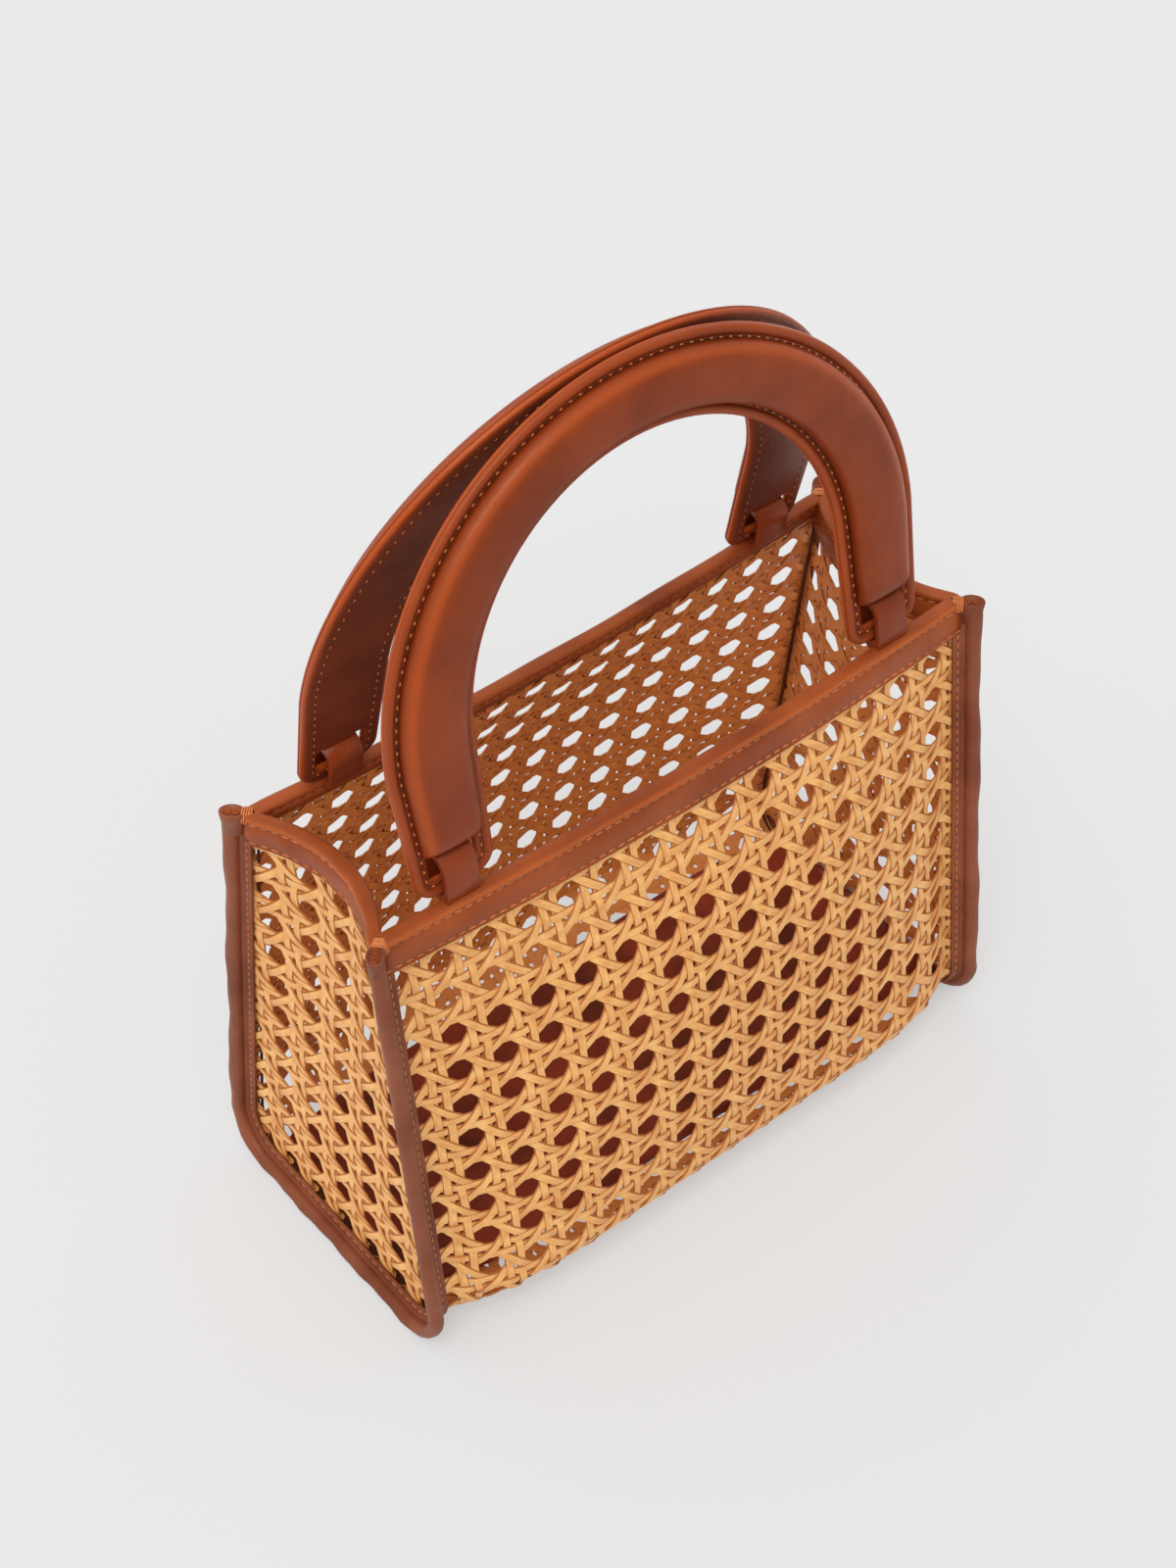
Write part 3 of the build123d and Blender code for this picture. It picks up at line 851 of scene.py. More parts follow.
def woven_piece(name, settings, surface, edge, top, bottom, first_column, keep):
    """Weave between both side edges and two distances down, clipped and laid on a surface."""
    p = settings.pitch / MM
    low_i = floor((-edge - first_column) / p) - 1
    high_i = ceil((edge - first_column) / p) + 1
    low_j = floor((top - FIRST_ROW) / p) - 1
    high_j = ceil((bottom - FIRST_ROW) / p) + 1
    columns, rows = high_i - low_i + 1, high_j - low_j + 1
    cell = weave_cell(settings)
    holder = new_object("weave_holder", [(0, 0, 0)], [], finish("Cane"))
    values = {
        "Cell": cell,
        "Columns": columns,
        "Rows": rows,
        "Width": (columns - 1) * p * MM,
        "Height": (rows - 1) * p * MM,
        "Material": finish("Cane"),
    }
    tree = bpy.data.node_groups.get("Repeat the weave's cell") or grid_tree()
    piece = grown(holder, tree, values, name)
    bpy.data.objects.remove(cell)
    mesh = piece.data
    flat = np.zeros(len(mesh.vertices) * 3)
    mesh.vertices.foreach_get("co", flat)
    flat = flat.reshape(-1, 3) / MM
    flat[:, 0] += first_column + (low_i + high_i) / 2 * p
    flat[:, 1] += -FIRST_ROW - (low_j + high_j) / 2 * p
    handmade(flat)
    kept = keep(flat[:, 0], -flat[:, 1])
    flat[kept] = laid_on(surface, flat[kept])
    mesh.vertices.foreach_set("co", (flat * MM).ravel())
    build = bmesh.new()
    build.from_mesh(mesh)
    build.verts.ensure_lookup_table()
    cut = [v for v, stays in zip(build.verts, kept) if not stays]
    bmesh.ops.delete(build, geom=cut, context="VERTS")
    bmesh.ops.recalc_face_normals(build, faces=build.faces)
    build.to_mesh(mesh)
    build.free()
    shade_smooth(mesh)
    mesh.set_sharp_from_angle(angle=radians(38))
    return piece


# Handles


def arch_point(angle, inset, inner):
    """Point of the arch's outer or inner edge, in the handle's plane."""
    if inner:
        wide, rise = HAND_GAP_WIDTH / 2 + inset, HAND_GAP_HEIGHT - ARCH_START + inset
    else:
        wide, rise = HANDLE_WIDTH / 2 - inset, HANDLE_HEIGHT - ARCH_START - inset
    return wide * cos(angle), ARCH_START + rise * sin(angle)


def leg_point(side, height, inset, inner):
    """Point of a leg's outer or inner edge, at a height above the foot."""
    taper = FOOT_TAPER * (1 - height / ARCH_START)
    if inner:
        return side * (HAND_GAP_WIDTH / 2 + inset + taper / 2), height
    return side * (HANDLE_WIDTH / 2 - inset - taper), height


def rounded(corner, before, after, radius, steps=6):
    """Arc that rounds a corner between two neighbours."""
    c = np.array(corner, float)
    a = (np.array(before) - c) / np.linalg.norm(np.array(before) - c)
    b = (np.array(after) - c) / np.linalg.norm(np.array(after) - c)
    half = np.arccos(np.clip(a @ b, -1, 1)) / 2
    reach = radius / tan(half)
    middle = c + (a + b) / np.linalg.norm(a + b) * radius / sin(half)
    first, last = c + a * reach - middle, c + b * reach - middle
    points = []
    for i in range(steps + 1):
        t = i / steps
        spot = first * (1 - t) + last * t
        points.append(tuple(middle + spot / np.linalg.norm(spot) * radius))
    return points


def arch_outline(inset):
    """Closed outline of the arch: over the outside, down a leg, under the hand gap and back."""
    angles = np.linspace(0, pi, 61)
    outer = [arch_point(a, inset, False) for a in angles]
    inner = [arch_point(a, inset, True) for a in angles[::-1]]
    outline = list(outer)
    for side, start, goal in ((-1, outer[-1], inner[0]), (1, inner[-1], outer[0])):
        first = leg_point(side, inset, inset, side > 0)
        second = leg_point(side, inset, inset, side < 0)
        outline += rounded(first, start, second, FOOT_CORNER - inset)
        outline += rounded(second, first, goal, FOOT_CORNER - inset)
        if side < 0:
            outline += inner
    return outline


def slot_outline(side, grow):
    """Closed outline of a slot, with rounded corners."""
    wide, high = SLOT_WIDTH / 2 + grow, SLOT_HEIGHT / 2 + grow
    middle = np.array([side * FOOT_X, LIP + SLOT_HEIGHT / 2])
    signs = [(-1, -1), (1, -1), (1, 1), (-1, 1)]
    corners = [tuple(middle + np.array([a * wide, b * high])) for a, b in signs]
    outline = []
    for i, spot in enumerate(corners):
        outline += rounded(spot, corners[i - 1], corners[(i + 1) % 4], SLOT_CORNER + grow, 4)
    return outline


def handle_plane(facing):
    """The handle's plane: facing is -1 for the front handle and 1 for the back one."""
    joint = next(j for j in frame["joints"] if j["name"] == "front_handle_swing")
    hinge_y, hinge_z = abs(joint["pos_m"][1]) / MM, joint["pos_m"][2] / MM
    top = HANDLE_HEIGHT - LIP / 2
    gap = -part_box("front_handle_backing")[1].y / MM
    lean = np.arcsin((hinge_y - gap) / hypot(top, LEATHER)) - atan(LEATHER / top)
    out = np.array([0, facing * cos(lean), sin(lean)])
    up = np.array([0, -facing * sin(lean), cos(lean)])
    right = np.cross(up, out)
    origin = np.array([0, facing * hinge_y, hinge_z]) - up * LIP / 2
    return right, up, out, origin


def in_plane(points, height, plane):
    """Points of the handle's plane lifted to a height over it."""
    right, up, out, origin = plane
    return [origin + right * u + up * v + out * height for u, v in points]


def leather_plate(name, plane, low, high, material, roll, inset=0.0):
    """A layer of leather in the arch's shape, with its slots and rolled edges."""
    outlines = [arch_outline(inset), slot_outline(-1, inset), slot_outline(1, inset)]
    flat = [[(u, v, 0) for u, v in outline] for outline in outlines]
    curve = poly_curve(name, flat, closed=True, dimensions="2D")
    curve.fill_mode = "BOTH"
    curve.extrude = ((high - low) / 2 - roll) * MM
    curve.bevel_depth = roll * MM
    curve.bevel_resolution = 1
    curve.offset = -roll * MM
    plate = plain_mesh(linked(name, curve), name)
    right, up, out, origin = plane
    middle = (low + high) / 2
    turn = Matrix((right, up, out)).transposed().to_4x4()
    turn.translation = Vector(origin + out * middle) * MM
    plate.data.transform(turn)
    plate.data.materials.clear()
    plate.data.materials.append(material)
    mended(plate.data, 0.01)
    shade_smooth(plate.data)
    if not inset:
        # Painted highlight: the plate's cut edge, between its faces, is marked to be painted
        # lighter, as a sheen where light catches it
        heights = np.array([(np.array(v.co) / MM - origin) @ out for v in plate.data.vertices])
        sheen_and_wear(plate, 2.2 * np.clip((high - 0.2 - np.abs(heights - middle)) / 0.5, 0, 1))
    return plate


def rolled_edge(name, plane):
    """Raised bead that the turned-in leather makes along the handle's outline."""
    # Rows of the bead: inset, height over the leather, and share of painted highlight
    section = [
        (0.1, -0.7, 1.0),
        (0.3, 0.2, 1.0),
        (0.9, 0.75, 0.8),
        (1.8, 0.95, 0.5),
        (2.7, 0.75, 0.2),
        (3.3, 0.3, 0.0),
        (3.8, -0.1, 0.0),
    ]
    rows = [in_plane(arch_outline(inset), LEATHER + up, plane) for inset, up, sheen_share in section]
    count = len(rows[0])
    faces = []
    for k in range(len(rows)):
        other = (k + 1) % len(rows) * count
        for i in range(count):
            j = (i + 1) % count
            faces.append((k * count + i, k * count + j, other + j, other + i))
    bead = new_object(name, np.concatenate(rows), faces, finish("Tan leather"))
    # Painted highlight: the bead's outer side, turned to the light, is marked to be painted lighter
    sheen_and_wear(bead, np.repeat([sheen_share for inset, up, sheen_share in section], count))
    return bead


def pad_crown(t):
    """Height of the pad's section, from 0 at its outer edge to 1 at the crest and 0 again."""
    if t < PAD_CREST:
        power, rest = PAD_OUTER_POWER, 1 - t / PAD_CREST
    else:
        power, rest = PAD_INNER_POWER, min(1.0, (t - PAD_CREST) / (1 - PAD_CREST))
    return (1 - rest**power) ** (1 / power)


def handle_pad(name, plane):
    """The stuffed roll of the handle: crowned across, with soft shouldered ends."""
    legs = PAD_START + (ARCH_START - PAD_START) * (np.linspace(0, 1, 12)[:-1] ** 1.6)
    stations = [(*(leg_point(1, v, FLANGE, inner) for inner in (False, True)), v) for v in legs]
    for angle in np.linspace(0, pi, 73):
        outer, inner = (arch_point(angle, FLANGE, inner) for inner in (False, True))
        stations.append((outer, inner, ARCH_START))
    for v in legs[::-1]:
        stations.append((*(leg_point(-1, v, FLANGE, inner) for inner in (False, True)), v))
    across = (1 - np.cos(np.linspace(0, pi, 19))) / 2
    right, up, out, origin = plane
    verts, faces = [], []
    for outer, inner, v in stations:
        share = min(1.0, (v - PAD_START) / PAD_END_REACH)
        end = (1 - (1 - share) ** PAD_END_POWER) ** (1 / PAD_END_POWER)
        for t in across:
            u = outer[0] * (1 - t) + inner[0] * t
            w = outer[1] * (1 - t) + inner[1] * t
            height = LEATHER - PAD_SINK + (PAD_RISE + PAD_SINK) * pad_crown(t) * end
            verts.append(origin + right * u + up * w + out * height)
    n = len(across)
    for i in range(len(stations) - 1):
        for k in range(n - 1):
            a = i * n + k
            faces.append((a, a + 1, a + n + 1, a + n))
    ring = [i * n for i in range(len(stations))]
    back = [i * n + n - 1 for i in range(len(stations))]
    last = len(stations) - 1
    for i in range(1, last - 1):
        faces.append((ring[i + 1], back[i + 1], back[i], ring[i]))
    faces.append((ring[1], *range(n), back[1])[::-1])
    faces.append((ring[last - 1], *range(last * n, last * n + n), back[last - 1]))
    pad = new_object(name, verts, faces, finish("Tan leather"))
    mended(pad.data)
    # Painted highlight: a band along the pad's outer shoulder is marked to be painted lighter, with
    # the lighter wear of handling
    sheen_and_wear(pad, 1.5 * np.tile(np.exp(-(((across - 0.09) / 0.07) ** 2)), len(stations)))
    return pad


# Stitches and threads


def stitched(name, lines, closed=False, length_share=STITCH_SHARE):
    """Stitches along one or more lines of points."""
    settings = bpy.context.scene.bag_leather
    values = {
        "Pitch": settings.stitch_pitch,
        "Stitch Length": settings.stitch_pitch * length_share,
        "Thickness": settings.thread_thickness,
        "Material": finish("Orange thread"),
    }
    tree = bpy.data.node_groups.get("Stitch along a line") or stitch_tree()
    return grown(linked(name, poly_curve(name, lines, closed)), tree, values, name)


def thread_tube(name, lines, thickness, material, closed=False):
    """Threads, and dark tubes of painted shade in seams and furrows, as thin round tubes along
    lines of points.
    """
    curve = poly_curve(name, lines, closed)
    curve.bevel_depth = thickness * MM / 2
    curve.bevel_resolution = 2
    curve.use_fill_caps = True
    curve.materials.append(material)
    tube = plain_mesh(linked(name, curve), name)
    mended(tube.data, 0.002)
    shade_smooth(tube.data)
    return tube


def rim_line(z, outside, front):
    """Stitch line along a front or back rim."""
    x = np.linspace(-SIDE_FACE + 2, SIDE_FACE - 2, 61)
    inset = -STITCH_OUT if outside else CANE_THICKNESS + STITCH_OUT
    rim_bulge = FRONT_RIM_BULGE if front else BACK_RIM_BULGE
    y = side_y(z, inset) + bulge_share(x) * bulge(z, rim_bulge)
    return np.stack([x, -y if front else y, np.full_like(x, z)], 1)


def side_rim_line(z, outside, side):
    """Stitch line along a gusset's rim."""
    reach = side_y(z, CANE_THICKNESS + 2 * RIM_SKIN)
    y = np.linspace(-reach, reach, 25)
    face = SIDE_FACE + STITCH_OUT if outside else SIDE_FACE - CANE_THICKNESS - STITCH_OUT
    x = face - bow(min(z, CANE_TOP)) * bow_share(y, z)
    return np.stack([side * x, y, np.full_like(y, z)], 1)


def seam_line(out_of_wall, out_of_side, side, top):
    """Line along a corner binding, at distances out of the wall and out of the gusset."""
    corner_z = FLOOR_GAP - out_of_wall
    corner_y = side_y(corner_z, -out_of_wall)
    top_y = side_y(top, -out_of_wall)
    start, goal = (-top_y, top), (top_y, top)
    left, right = (-corner_y, corner_z), (corner_y, corner_z)
    line = [start] + rounded(left, start, right, FOLD_RADIUS + out_of_wall, 10)
    line += rounded(right, left, goal, FOLD_RADIUS + out_of_wall, 10) + [goal]
    return [(side * (SIDE_FACE + out_of_side), y, z) for y, z in line]


def corner_spots():
    """The four top corners: signs along X and Y, and the directions out of and along each."""
    for sx in (-1, 1):
        for sy in (-1, 1):
            yield sx, sy, np.array([sx, sy, 0]) / 2**0.5, np.array([-sy, sx, 0]) / 2**0.5


def tack_lines():
    """Threads wound round the neck between the rims and each rolled end."""
    lines = []
    for sx, sy, outward, aside in corner_spots():
        neck = np.array([sx * (SIDE_FACE - 1.2), sy * (side_y(BAG_HEIGHT) - 0.8), BAG_HEIGHT])
        for k in range(TACK_TURNS):
            middle = neck + outward * (TACK_STEP * k - 0.9)
            reach = TACK_REACH - 0.12 * (k - 2) ** 2
            line = []
            for t in np.linspace(-1, 1, 13):
                drop = 0.35 - TACK_DROP * abs(t) ** 4 + 0.12 * sin(3 * k)
                line.append(middle + aside * reach * t + np.array([0, 0, drop]))
            lines.append(line)
    return lines


# Rims, straps, sleeve and bindings


def rim_section(inner_height):
    """Round a rim, out of the cane's outer face and below the top: beads, grooves and edges."""
    half = [
        (-0.2, RIM_HEIGHT - 0.6),
        (0.75, RIM_HEIGHT - 0.55),
        (1.1, RIM_HEIGHT - 1.0),
        (1.05, RIM_EDGE_ROW + 0.6),
        (0.62, RIM_EDGE_ROW),
        (1.1, RIM_EDGE_ROW - 0.7),
        (1.4, 0.6 * RIM_EDGE_ROW + 1.6),
        (1.4, 0.3 * RIM_EDGE_ROW + 2.4),
        (1.15, RIM_TOP_ROW + 0.7),
        (0.62, RIM_TOP_ROW),
        (1.2, RIM_TOP_ROW - 0.6),
        (1.5, RIM_TOP_ROW - 1.4),
        (1.35, 0.6),
        (0.8, 0.05),
        (-0.2, -0.2),
    ]
    fit = inner_height / RIM_HEIGHT
    inner = []
    for out, down in half[::-1]:
        drop = down if down < RIM_TOP_ROW + 0.1 else RIM_TOP_ROW + (down - RIM_TOP_ROW) * fit
        inner.append((-CANE_THICKNESS - out, drop))
    return half + inner


def swept_rim(name, section, place, reach, count=81):
    """Folded leather of a rim: its section laid along an edge of the mouth."""
    rows = []
    for out, down in section:
        z = BAG_HEIGHT - down
        wave = RIM_WAVE * np.sin(np.linspace(0, 29, count) + 0.5 * down) * (1 if out > 1 else 0.3)
        rows.append(place(np.linspace(-reach(z), reach(z), count), z, out + wave * (out > 0)))
    rim = capped_sweep(name, rows, finish("Rim leather"))
    # Painted highlight: the crest of the rim's top bead is marked to be painted lighter
    crest = np.array([1.0 if out > 1.3 and down < 2 else 0.0 for out, down in section])
    sheen_and_wear(rim, np.repeat(crest, count))
    return rim


def long_rim(name, side):
    """Rim of the front wall (side -1) or of the back one, which bows in."""
    rim_bulge = FRONT_RIM_BULGE if side < 0 else BACK_RIM_BULGE

    def place(x, z, out):
        y = side_y(z) + out + bulge_share(x) * bulge(z, rim_bulge)
        return np.stack([x, side * y, np.full_like(x, z)], 1)

    section = rim_section(RIM_HEIGHT if side < 0 else BACK_RIM_INSIDE)
    return swept_rim(name, section, place, lambda z: SIDE_FACE - 1.0)


def short_rim(name, side):
    """Rim of a gusset, bowed in with it."""

    def place(y, z, out):
        x = SIDE_FACE + out - bow(min(z, CANE_TOP)) * bow_share(y, z)
        return np.stack([side * x, y, np.full_like(y, z)], 1)

    return swept_rim(name, rim_section(RIM_HEIGHT), place, lambda z: side_y(z, 1.0), 41)


def settle(strap, side):
    """Narrows a strap to its slot and moves its foot with the wall, flatter than its solid's."""
    rim_bulge = FRONT_RIM_BULGE if side < 0 else BACK_RIM_BULGE
    for vertex in strap.data.vertices:
        x, _, z = (value / MM for value in vertex.co)
        t = np.clip((BAG_HEIGHT - z) / (BAG_HEIGHT - FOLD_TOP), 0, 1)
        solid = SOLID_RIM_BULGE[side] * (1 - t) ** 3 + 4 * WALL_BULGE * t * (1 - t)
        fade = np.clip(1 - (z - BAG_HEIGHT) / SETTLE_FADE, 0, 1)
        vertex.co.y += side * fade * bulge_share(x) * (bulge(z, rim_bulge) - solid) * MM
        middle = FOOT_X if x > 0 else -FOOT_X
        vertex.co.x = (middle + (x - middle) * STRAP_NARROWING) * MM


def fill_belly(sleeve):
    """Draws the long edges of the base out to the cane's fold, which bellies out over them."""
    build = bmesh.new()
    build.from_mesh(sleeve.data)
    for x in np.linspace(-SIDE_FACE, SIDE_FACE, 25)[1:-1]:
        geometry = [*build.verts, *build.edges, *build.faces]
        bmesh.ops.bisect_plane(build, geom=geometry, plane_co=(x * MM, 0, 0), plane_no=(1, 0, 0))
    for vertex in build.verts:
        y = vertex.co.y / MM
        out = SLEEVE_FOLLOWS * foot_share(bulge_share(vertex.co.x / MM)) * FOOT_BULGE
        ease = np.clip((abs(y) - SLEEVE_STILL) / SLEEVE_EASE, 0, 1)
        vertex.co.y += float(out * ease) * MM * (1 if y > 0 else -1)
    build.to_mesh(sleeve.data)
    build.free()


def binding_section():
    """Round a binding, out of the wall and out of the gusset: leg, groove, bead and back."""
    leg = [
        (-0.1, -BINDING_LEG),
        (0.6 * BINDING_SKIN, -BINDING_LEG - 0.05),
        (BINDING_SKIN, -BINDING_LEG + 0.35),
        (BINDING_SKIN, -BINDING_GROOVE - 0.7),
        (0.68 * BINDING_SKIN, -BINDING_GROOVE),
        (BINDING_SKIN, -BINDING_GROOVE + 0.7),
        (1.05, -0.3),
    ]
    turns = np.radians(np.linspace(-125, 45, 10))
    bead = [[BINDING_MIDDLE + BINDING_BEAD * part(t) for part in (cos, sin)] for t in turns]
    half = leg + bead
    return half + [(b, a) for a, b in half[-2::-1]] + [(0.0, 0.0)]


def dense(line, parts=30):
    """A seam line with its three straight runs cut into short steps."""
    line = np.array(line)
    long_runs = (0, 11, 22)
    points = []
    for i in range(len(line) - 1):
        count = parts if i in long_runs else 1
        for k in range(count):
            points.append(line[i] + (line[i + 1] - line[i]) * k / count)
    points.append(line[-1])
    return np.array(points)


def corner_binding(name, side):
    """Leather binding over one side's corner seams, slightly uneven as sewn by hand."""
    rows = []
    for out_of_wall, out_of_side in binding_section():
        row = dense(seam_line(out_of_wall, out_of_side, side, BAG_HEIGHT - BINDING_DROP))
        run = np.arange(len(row)) * 5.0
        bead = np.clip(min(out_of_wall, out_of_side) / BINDING_MIDDLE, 0, 1)
        wave = BINDING_SWAY * np.sin(0.11 * run + side) + BINDING_RIPPLE * np.sin(0.29 * run)
        row[:, 0] += side * bead * wave
        row[:, 1] += np.sign(row[:, 1]) * bead * wave * 0.7
        row[:, 2] = np.maximum(row[:, 2], 0.03)
        rows.append(row)
    return capped_sweep(name, rows, finish("Trim leather"))


def rolled_end(name, sx, sy, outward, aside):
    """Rolled top end of a corner binding: an oval of leather round two curled edges."""
    corner = np.array([sx * SIDE_FACE, sy * side_y(BAG_HEIGHT), BAG_HEIGHT - 0.3])
    middle = corner + outward * ROLL_OUT
    lip = ((0.96, 0.1), (0.86, 0.34), (0.76, 0.2), (0.7, -0.3), (0.0, -0.3))
    rings = ((1.0, -ROLL_DEPTH), (1.0, -0.5), *lip)
    count = 28
    verts, faces = [], []
    for share, rise in rings:
        wide = 1 - ROLL_TAPER * min(1.0, max(0.0, -rise / ROLL_DEPTH))
        for k in range(count):
            turn = 2 * pi * k / count
            spot = middle + outward * ROLL_LONG * share * wide * cos(turn)
            spot = spot + aside * ROLL_SHORT * share * wide * sin(turn)
            verts.append(spot + np.array([0, 0, rise]))
    for i in range(len(rings) - 1):
        for k in range(count):
            a, b = i * count + k, i * count + (k + 1) % count
            faces.append((a, b, b + count, a + count))
    faces.append(tuple(range(count)))
    roll = new_object(name, verts, faces, finish("Trim leather"))
    curls = []
    for side in (-1, 1):
        centre = middle + outward * side * 1.5 + np.array([0, 0, -0.1])
        line = []
        for turn in np.linspace(0.5 * pi, 4.2 * pi, 30):
            wide = 0.1 + 0.105 * turn
            sweep = outward * side * wide * cos(turn)
            line.append(centre + sweep + aside * wide * 0.95 * sin(turn))
        curls.append(line)
    edges = thread_tube(name + "_curls", curls, CURL_THICKNESS, finish("Rim leather"))
    result = joined([roll, edges], name)
    mended(result.data, 0.005)
    return result


# Settings

COLOUR = {"subtype": "COLOR", "size": 4}


class BagWeaveSettings(bpy.types.PropertyGroup):
    """Sizes and colours of the cane."""

    pitch: FloatProperty(
        name="Pitch", description="Distance between holes", default=0.01587, unit="LENGTH"
    )
    strand_width: FloatProperty(
        name="Strand width", description="Width of a strand", default=0.0032, unit="LENGTH"
    )
    strand_thickness: FloatProperty(
        name="Strand thickness", description="Thickness of a strand", default=0.0007, unit="LENGTH"
    )
    pair_gap: FloatProperty(
        name="Pair offset",
        description="Distance of a paired strand from the pair's middle",
        default=0.00215,
        unit="LENGTH",
    )
    rise: FloatProperty(
        name="Rise",
        description="Height of a strand over those it crosses",
        default=0.00072,
        unit="LENGTH",
    )
    light: FloatVectorProperty(
        name="Light cane", description="Pale fibres", default=linear(248, 192, 118), **COLOUR
    )
    dark: FloatVectorProperty(
        name="Dark cane", description="Dark fibres", default=linear(212, 134, 64), **COLOUR
    )
    # Backs of the strands, partly painted shade: darker and redder than the skin, as the shade
    # inside the bag
    pith: FloatVectorProperty(
        name="Pith", description="Backs of the strands", default=linear(232, 150, 78), **COLOUR
    )
    # Painted shade: the strands' narrow sides are painted darker, as the shade along each strand's
    # edges
    edge: FloatVectorProperty(
        name="Edge", description="Cut edges of the strands", default=linear(178, 106, 46), **COLOUR
    )


class BagLeatherSettings(bpy.types.PropertyGroup):
    """Colours of the leather and sizes of the stitches."""

    light: FloatVectorProperty(
        name="Leather", description="Tan leather", default=linear(140, 56, 20), **COLOUR
    )
    dark: FloatVectorProperty(
        name="Dark leather", description="Patches in it", default=linear(119, 45, 15), **COLOUR
    )
    trim: FloatVectorProperty(
        name="Trim", description="Corner bindings", default=linear(142, 78, 52), **COLOUR
    )
    trim_dark: FloatVectorProperty(
        name="Dark trim", description="Patches in them", default=linear(112, 54, 32), **COLOUR
    )
    rim: FloatVectorProperty(
        name="Rim", description="Rims of the mouth", default=linear(161, 76, 32), **COLOUR
    )
    rim_dark: FloatVectorProperty(
        name="Dark rim", description="Patches in them", default=linear(130, 56, 22), **COLOUR
    )
    # The lining is darker than the tan leather, partly as painted shade of the handles' inner sides
    lining: FloatVectorProperty(
        name="Lining", description="Backs of the handles", default=linear(118, 50, 26), **COLOUR
    )
    lining_dark: FloatVectorProperty(
        name="Dark lining", description="Patches in them", default=linear(94, 38, 20), **COLOUR
    )
    base: FloatVectorProperty(
        name="Base", description="Sleeve of the base", default=linear(150, 60, 36), **COLOUR
    )
    thread: FloatVectorProperty(
        name="Thread", description="Stitching thread", default=linear(212, 124, 64), **COLOUR
    )
    stitch_pitch: FloatProperty(
        name="Stitch pitch",
        description="Distance between stitches",
        default=0.0038,
        unit="LENGTH",
    )
    thread_thickness: FloatProperty(
        name="Thread thickness",
        description="Thickness of the thread",
        default=0.0006,
        unit="LENGTH",
    )


class BagStageSettings(bpy.types.PropertyGroup):
    """The picture's camera and light."""

    azimuth: FloatProperty(
        name="Azimuth",
        description="Camera's turn about the bag",
        default=radians(-38.85),
        subtype="ANGLE",
    )
    elevation: FloatProperty(
        name="Elevation",
        description="Camera's angle over the floor",
        default=radians(46.69),
        subtype="ANGLE",
    )
    distance: FloatProperty(
        name="Distance", description="Camera's distance", default=1.0808, unit="LENGTH"
    )
    slide_right: FloatProperty(
        name="Right", description="Camera moved to its right", default=-0.00847, unit="LENGTH"
    )
    slide_up: FloatProperty(
        name="Up", description="Camera moved up", default=0.04907, unit="LENGTH"
    )
    lens: FloatProperty(name="Lens", description="Focal length", default=71.4, unit="CAMERA")
    light: FloatProperty(
        name="Light", description="Strength of the surrounding light", default=0.56
    )
    key: FloatProperty(name="Key", description="Strength of the light from above", default=1.28)


# Operators


class BAG_OT_wrap(bpy.types.Operator):
    """Weave the cane of the front, the bottom and the back"""

    bl_idname = "bag.weave_wrap"
    bl_label = "Weave front, bottom and back"

    def execute(self, context):
        edge = SIDE_FACE - WRAP_EDGE
        length = 2 * HALF_LENGTH
        front_end = HALF_LENGTH * FRONT_SHARE
        spans = {
            "front_weave": (WEAVE_TOP, front_end),
            "bottom_weave": (front_end, length - front_end),
            "back_weave": (length - front_end, length - WEAVE_TOP),
        }
        for name, (top, bottom) in spans.items():

            def keep(x, s, low=top - WEAVE_OVERLAP, high=bottom + WEAVE_OVERLAP):
                return (np.abs(x) < edge) & (s > low) & (s < high)

            settings = context.scene.bag_weave
            piece = woven_piece(
                name, settings, wrap_point, edge, top, bottom, FIRST_COLUMN, keep
            )
            if name == "front_weave":
                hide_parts("cane_wrap")
            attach(piece, "bag")
        return {"FINISHED"}


class BAG_OT_gussets(bpy.types.Operator):
    """Weave the cane of the two gussets"""

    bl_idname = "bag.weave_gussets"
    bl_label = "Weave the gussets"

    def execute(self, context):
        settings = context.scene.bag_weave
        edge = side_y(FLOOR_GAP)
        bottom = BAG_HEIGHT - FLOOR_GAP - GUSSET_FOOT

        def keep(y, s):
            inside = np.abs(y) < side_y(BAG_HEIGHT - s, GUSSET_EDGE)
            low = (FOLD_Z - (BAG_HEIGHT - s)).clip(0, None)
            out = np.abs(y) - FOLD_Y
            clear = (out < 0) | (np.hypot(low, out) < FOLD_RADIUS - GUSSET_EDGE) | (low == 0)
            return inside & clear & (s > WEAVE_TOP) & (s < bottom)

        for side, name in ((1, "right"), (-1, "left")):

            def surface(y, s, side=side):
                return gusset_point(y, s) * np.array([side, side, 1])

            weave = f"{name}_gusset_weave"
            piece = woven_piece(weave, settings, surface, edge, WEAVE_TOP, bottom, 0.0, keep)
            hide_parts(f"{name}_side_weave")
            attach(piece, "bag")
        return {"FINISHED"}


class BAG_OT_trims(bpy.types.Operator):
    """Make the leather rims, the corner bindings and their rolled ends"""

    bl_idname = "bag.leather_trims"
    bl_label = "Leather rims and bindings"

    def execute(self, context):
        trims = (
            ("front_rim", long_rim, -1),
            ("back_rim", long_rim, 1),
            ("left_rim", short_rim, -1),
            ("right_rim", short_rim, 1),
            ("left_seam_binding", corner_binding, -1),
            ("right_seam_binding", corner_binding, 1),
        )
        for node, make, side in trims:
            trim = make(f"{node}_leather", side)
            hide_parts(node)
            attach(trim, "bag")
        for sx, sy, outward, aside in corner_spots():
            name = f"{'right' if sx > 0 else 'left'}_{'back' if sy > 0 else 'front'}_rolled_end"
            end = rolled_end(name, sx, sy, outward, aside)
            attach(end, "bag")
        return {"FINISHED"}


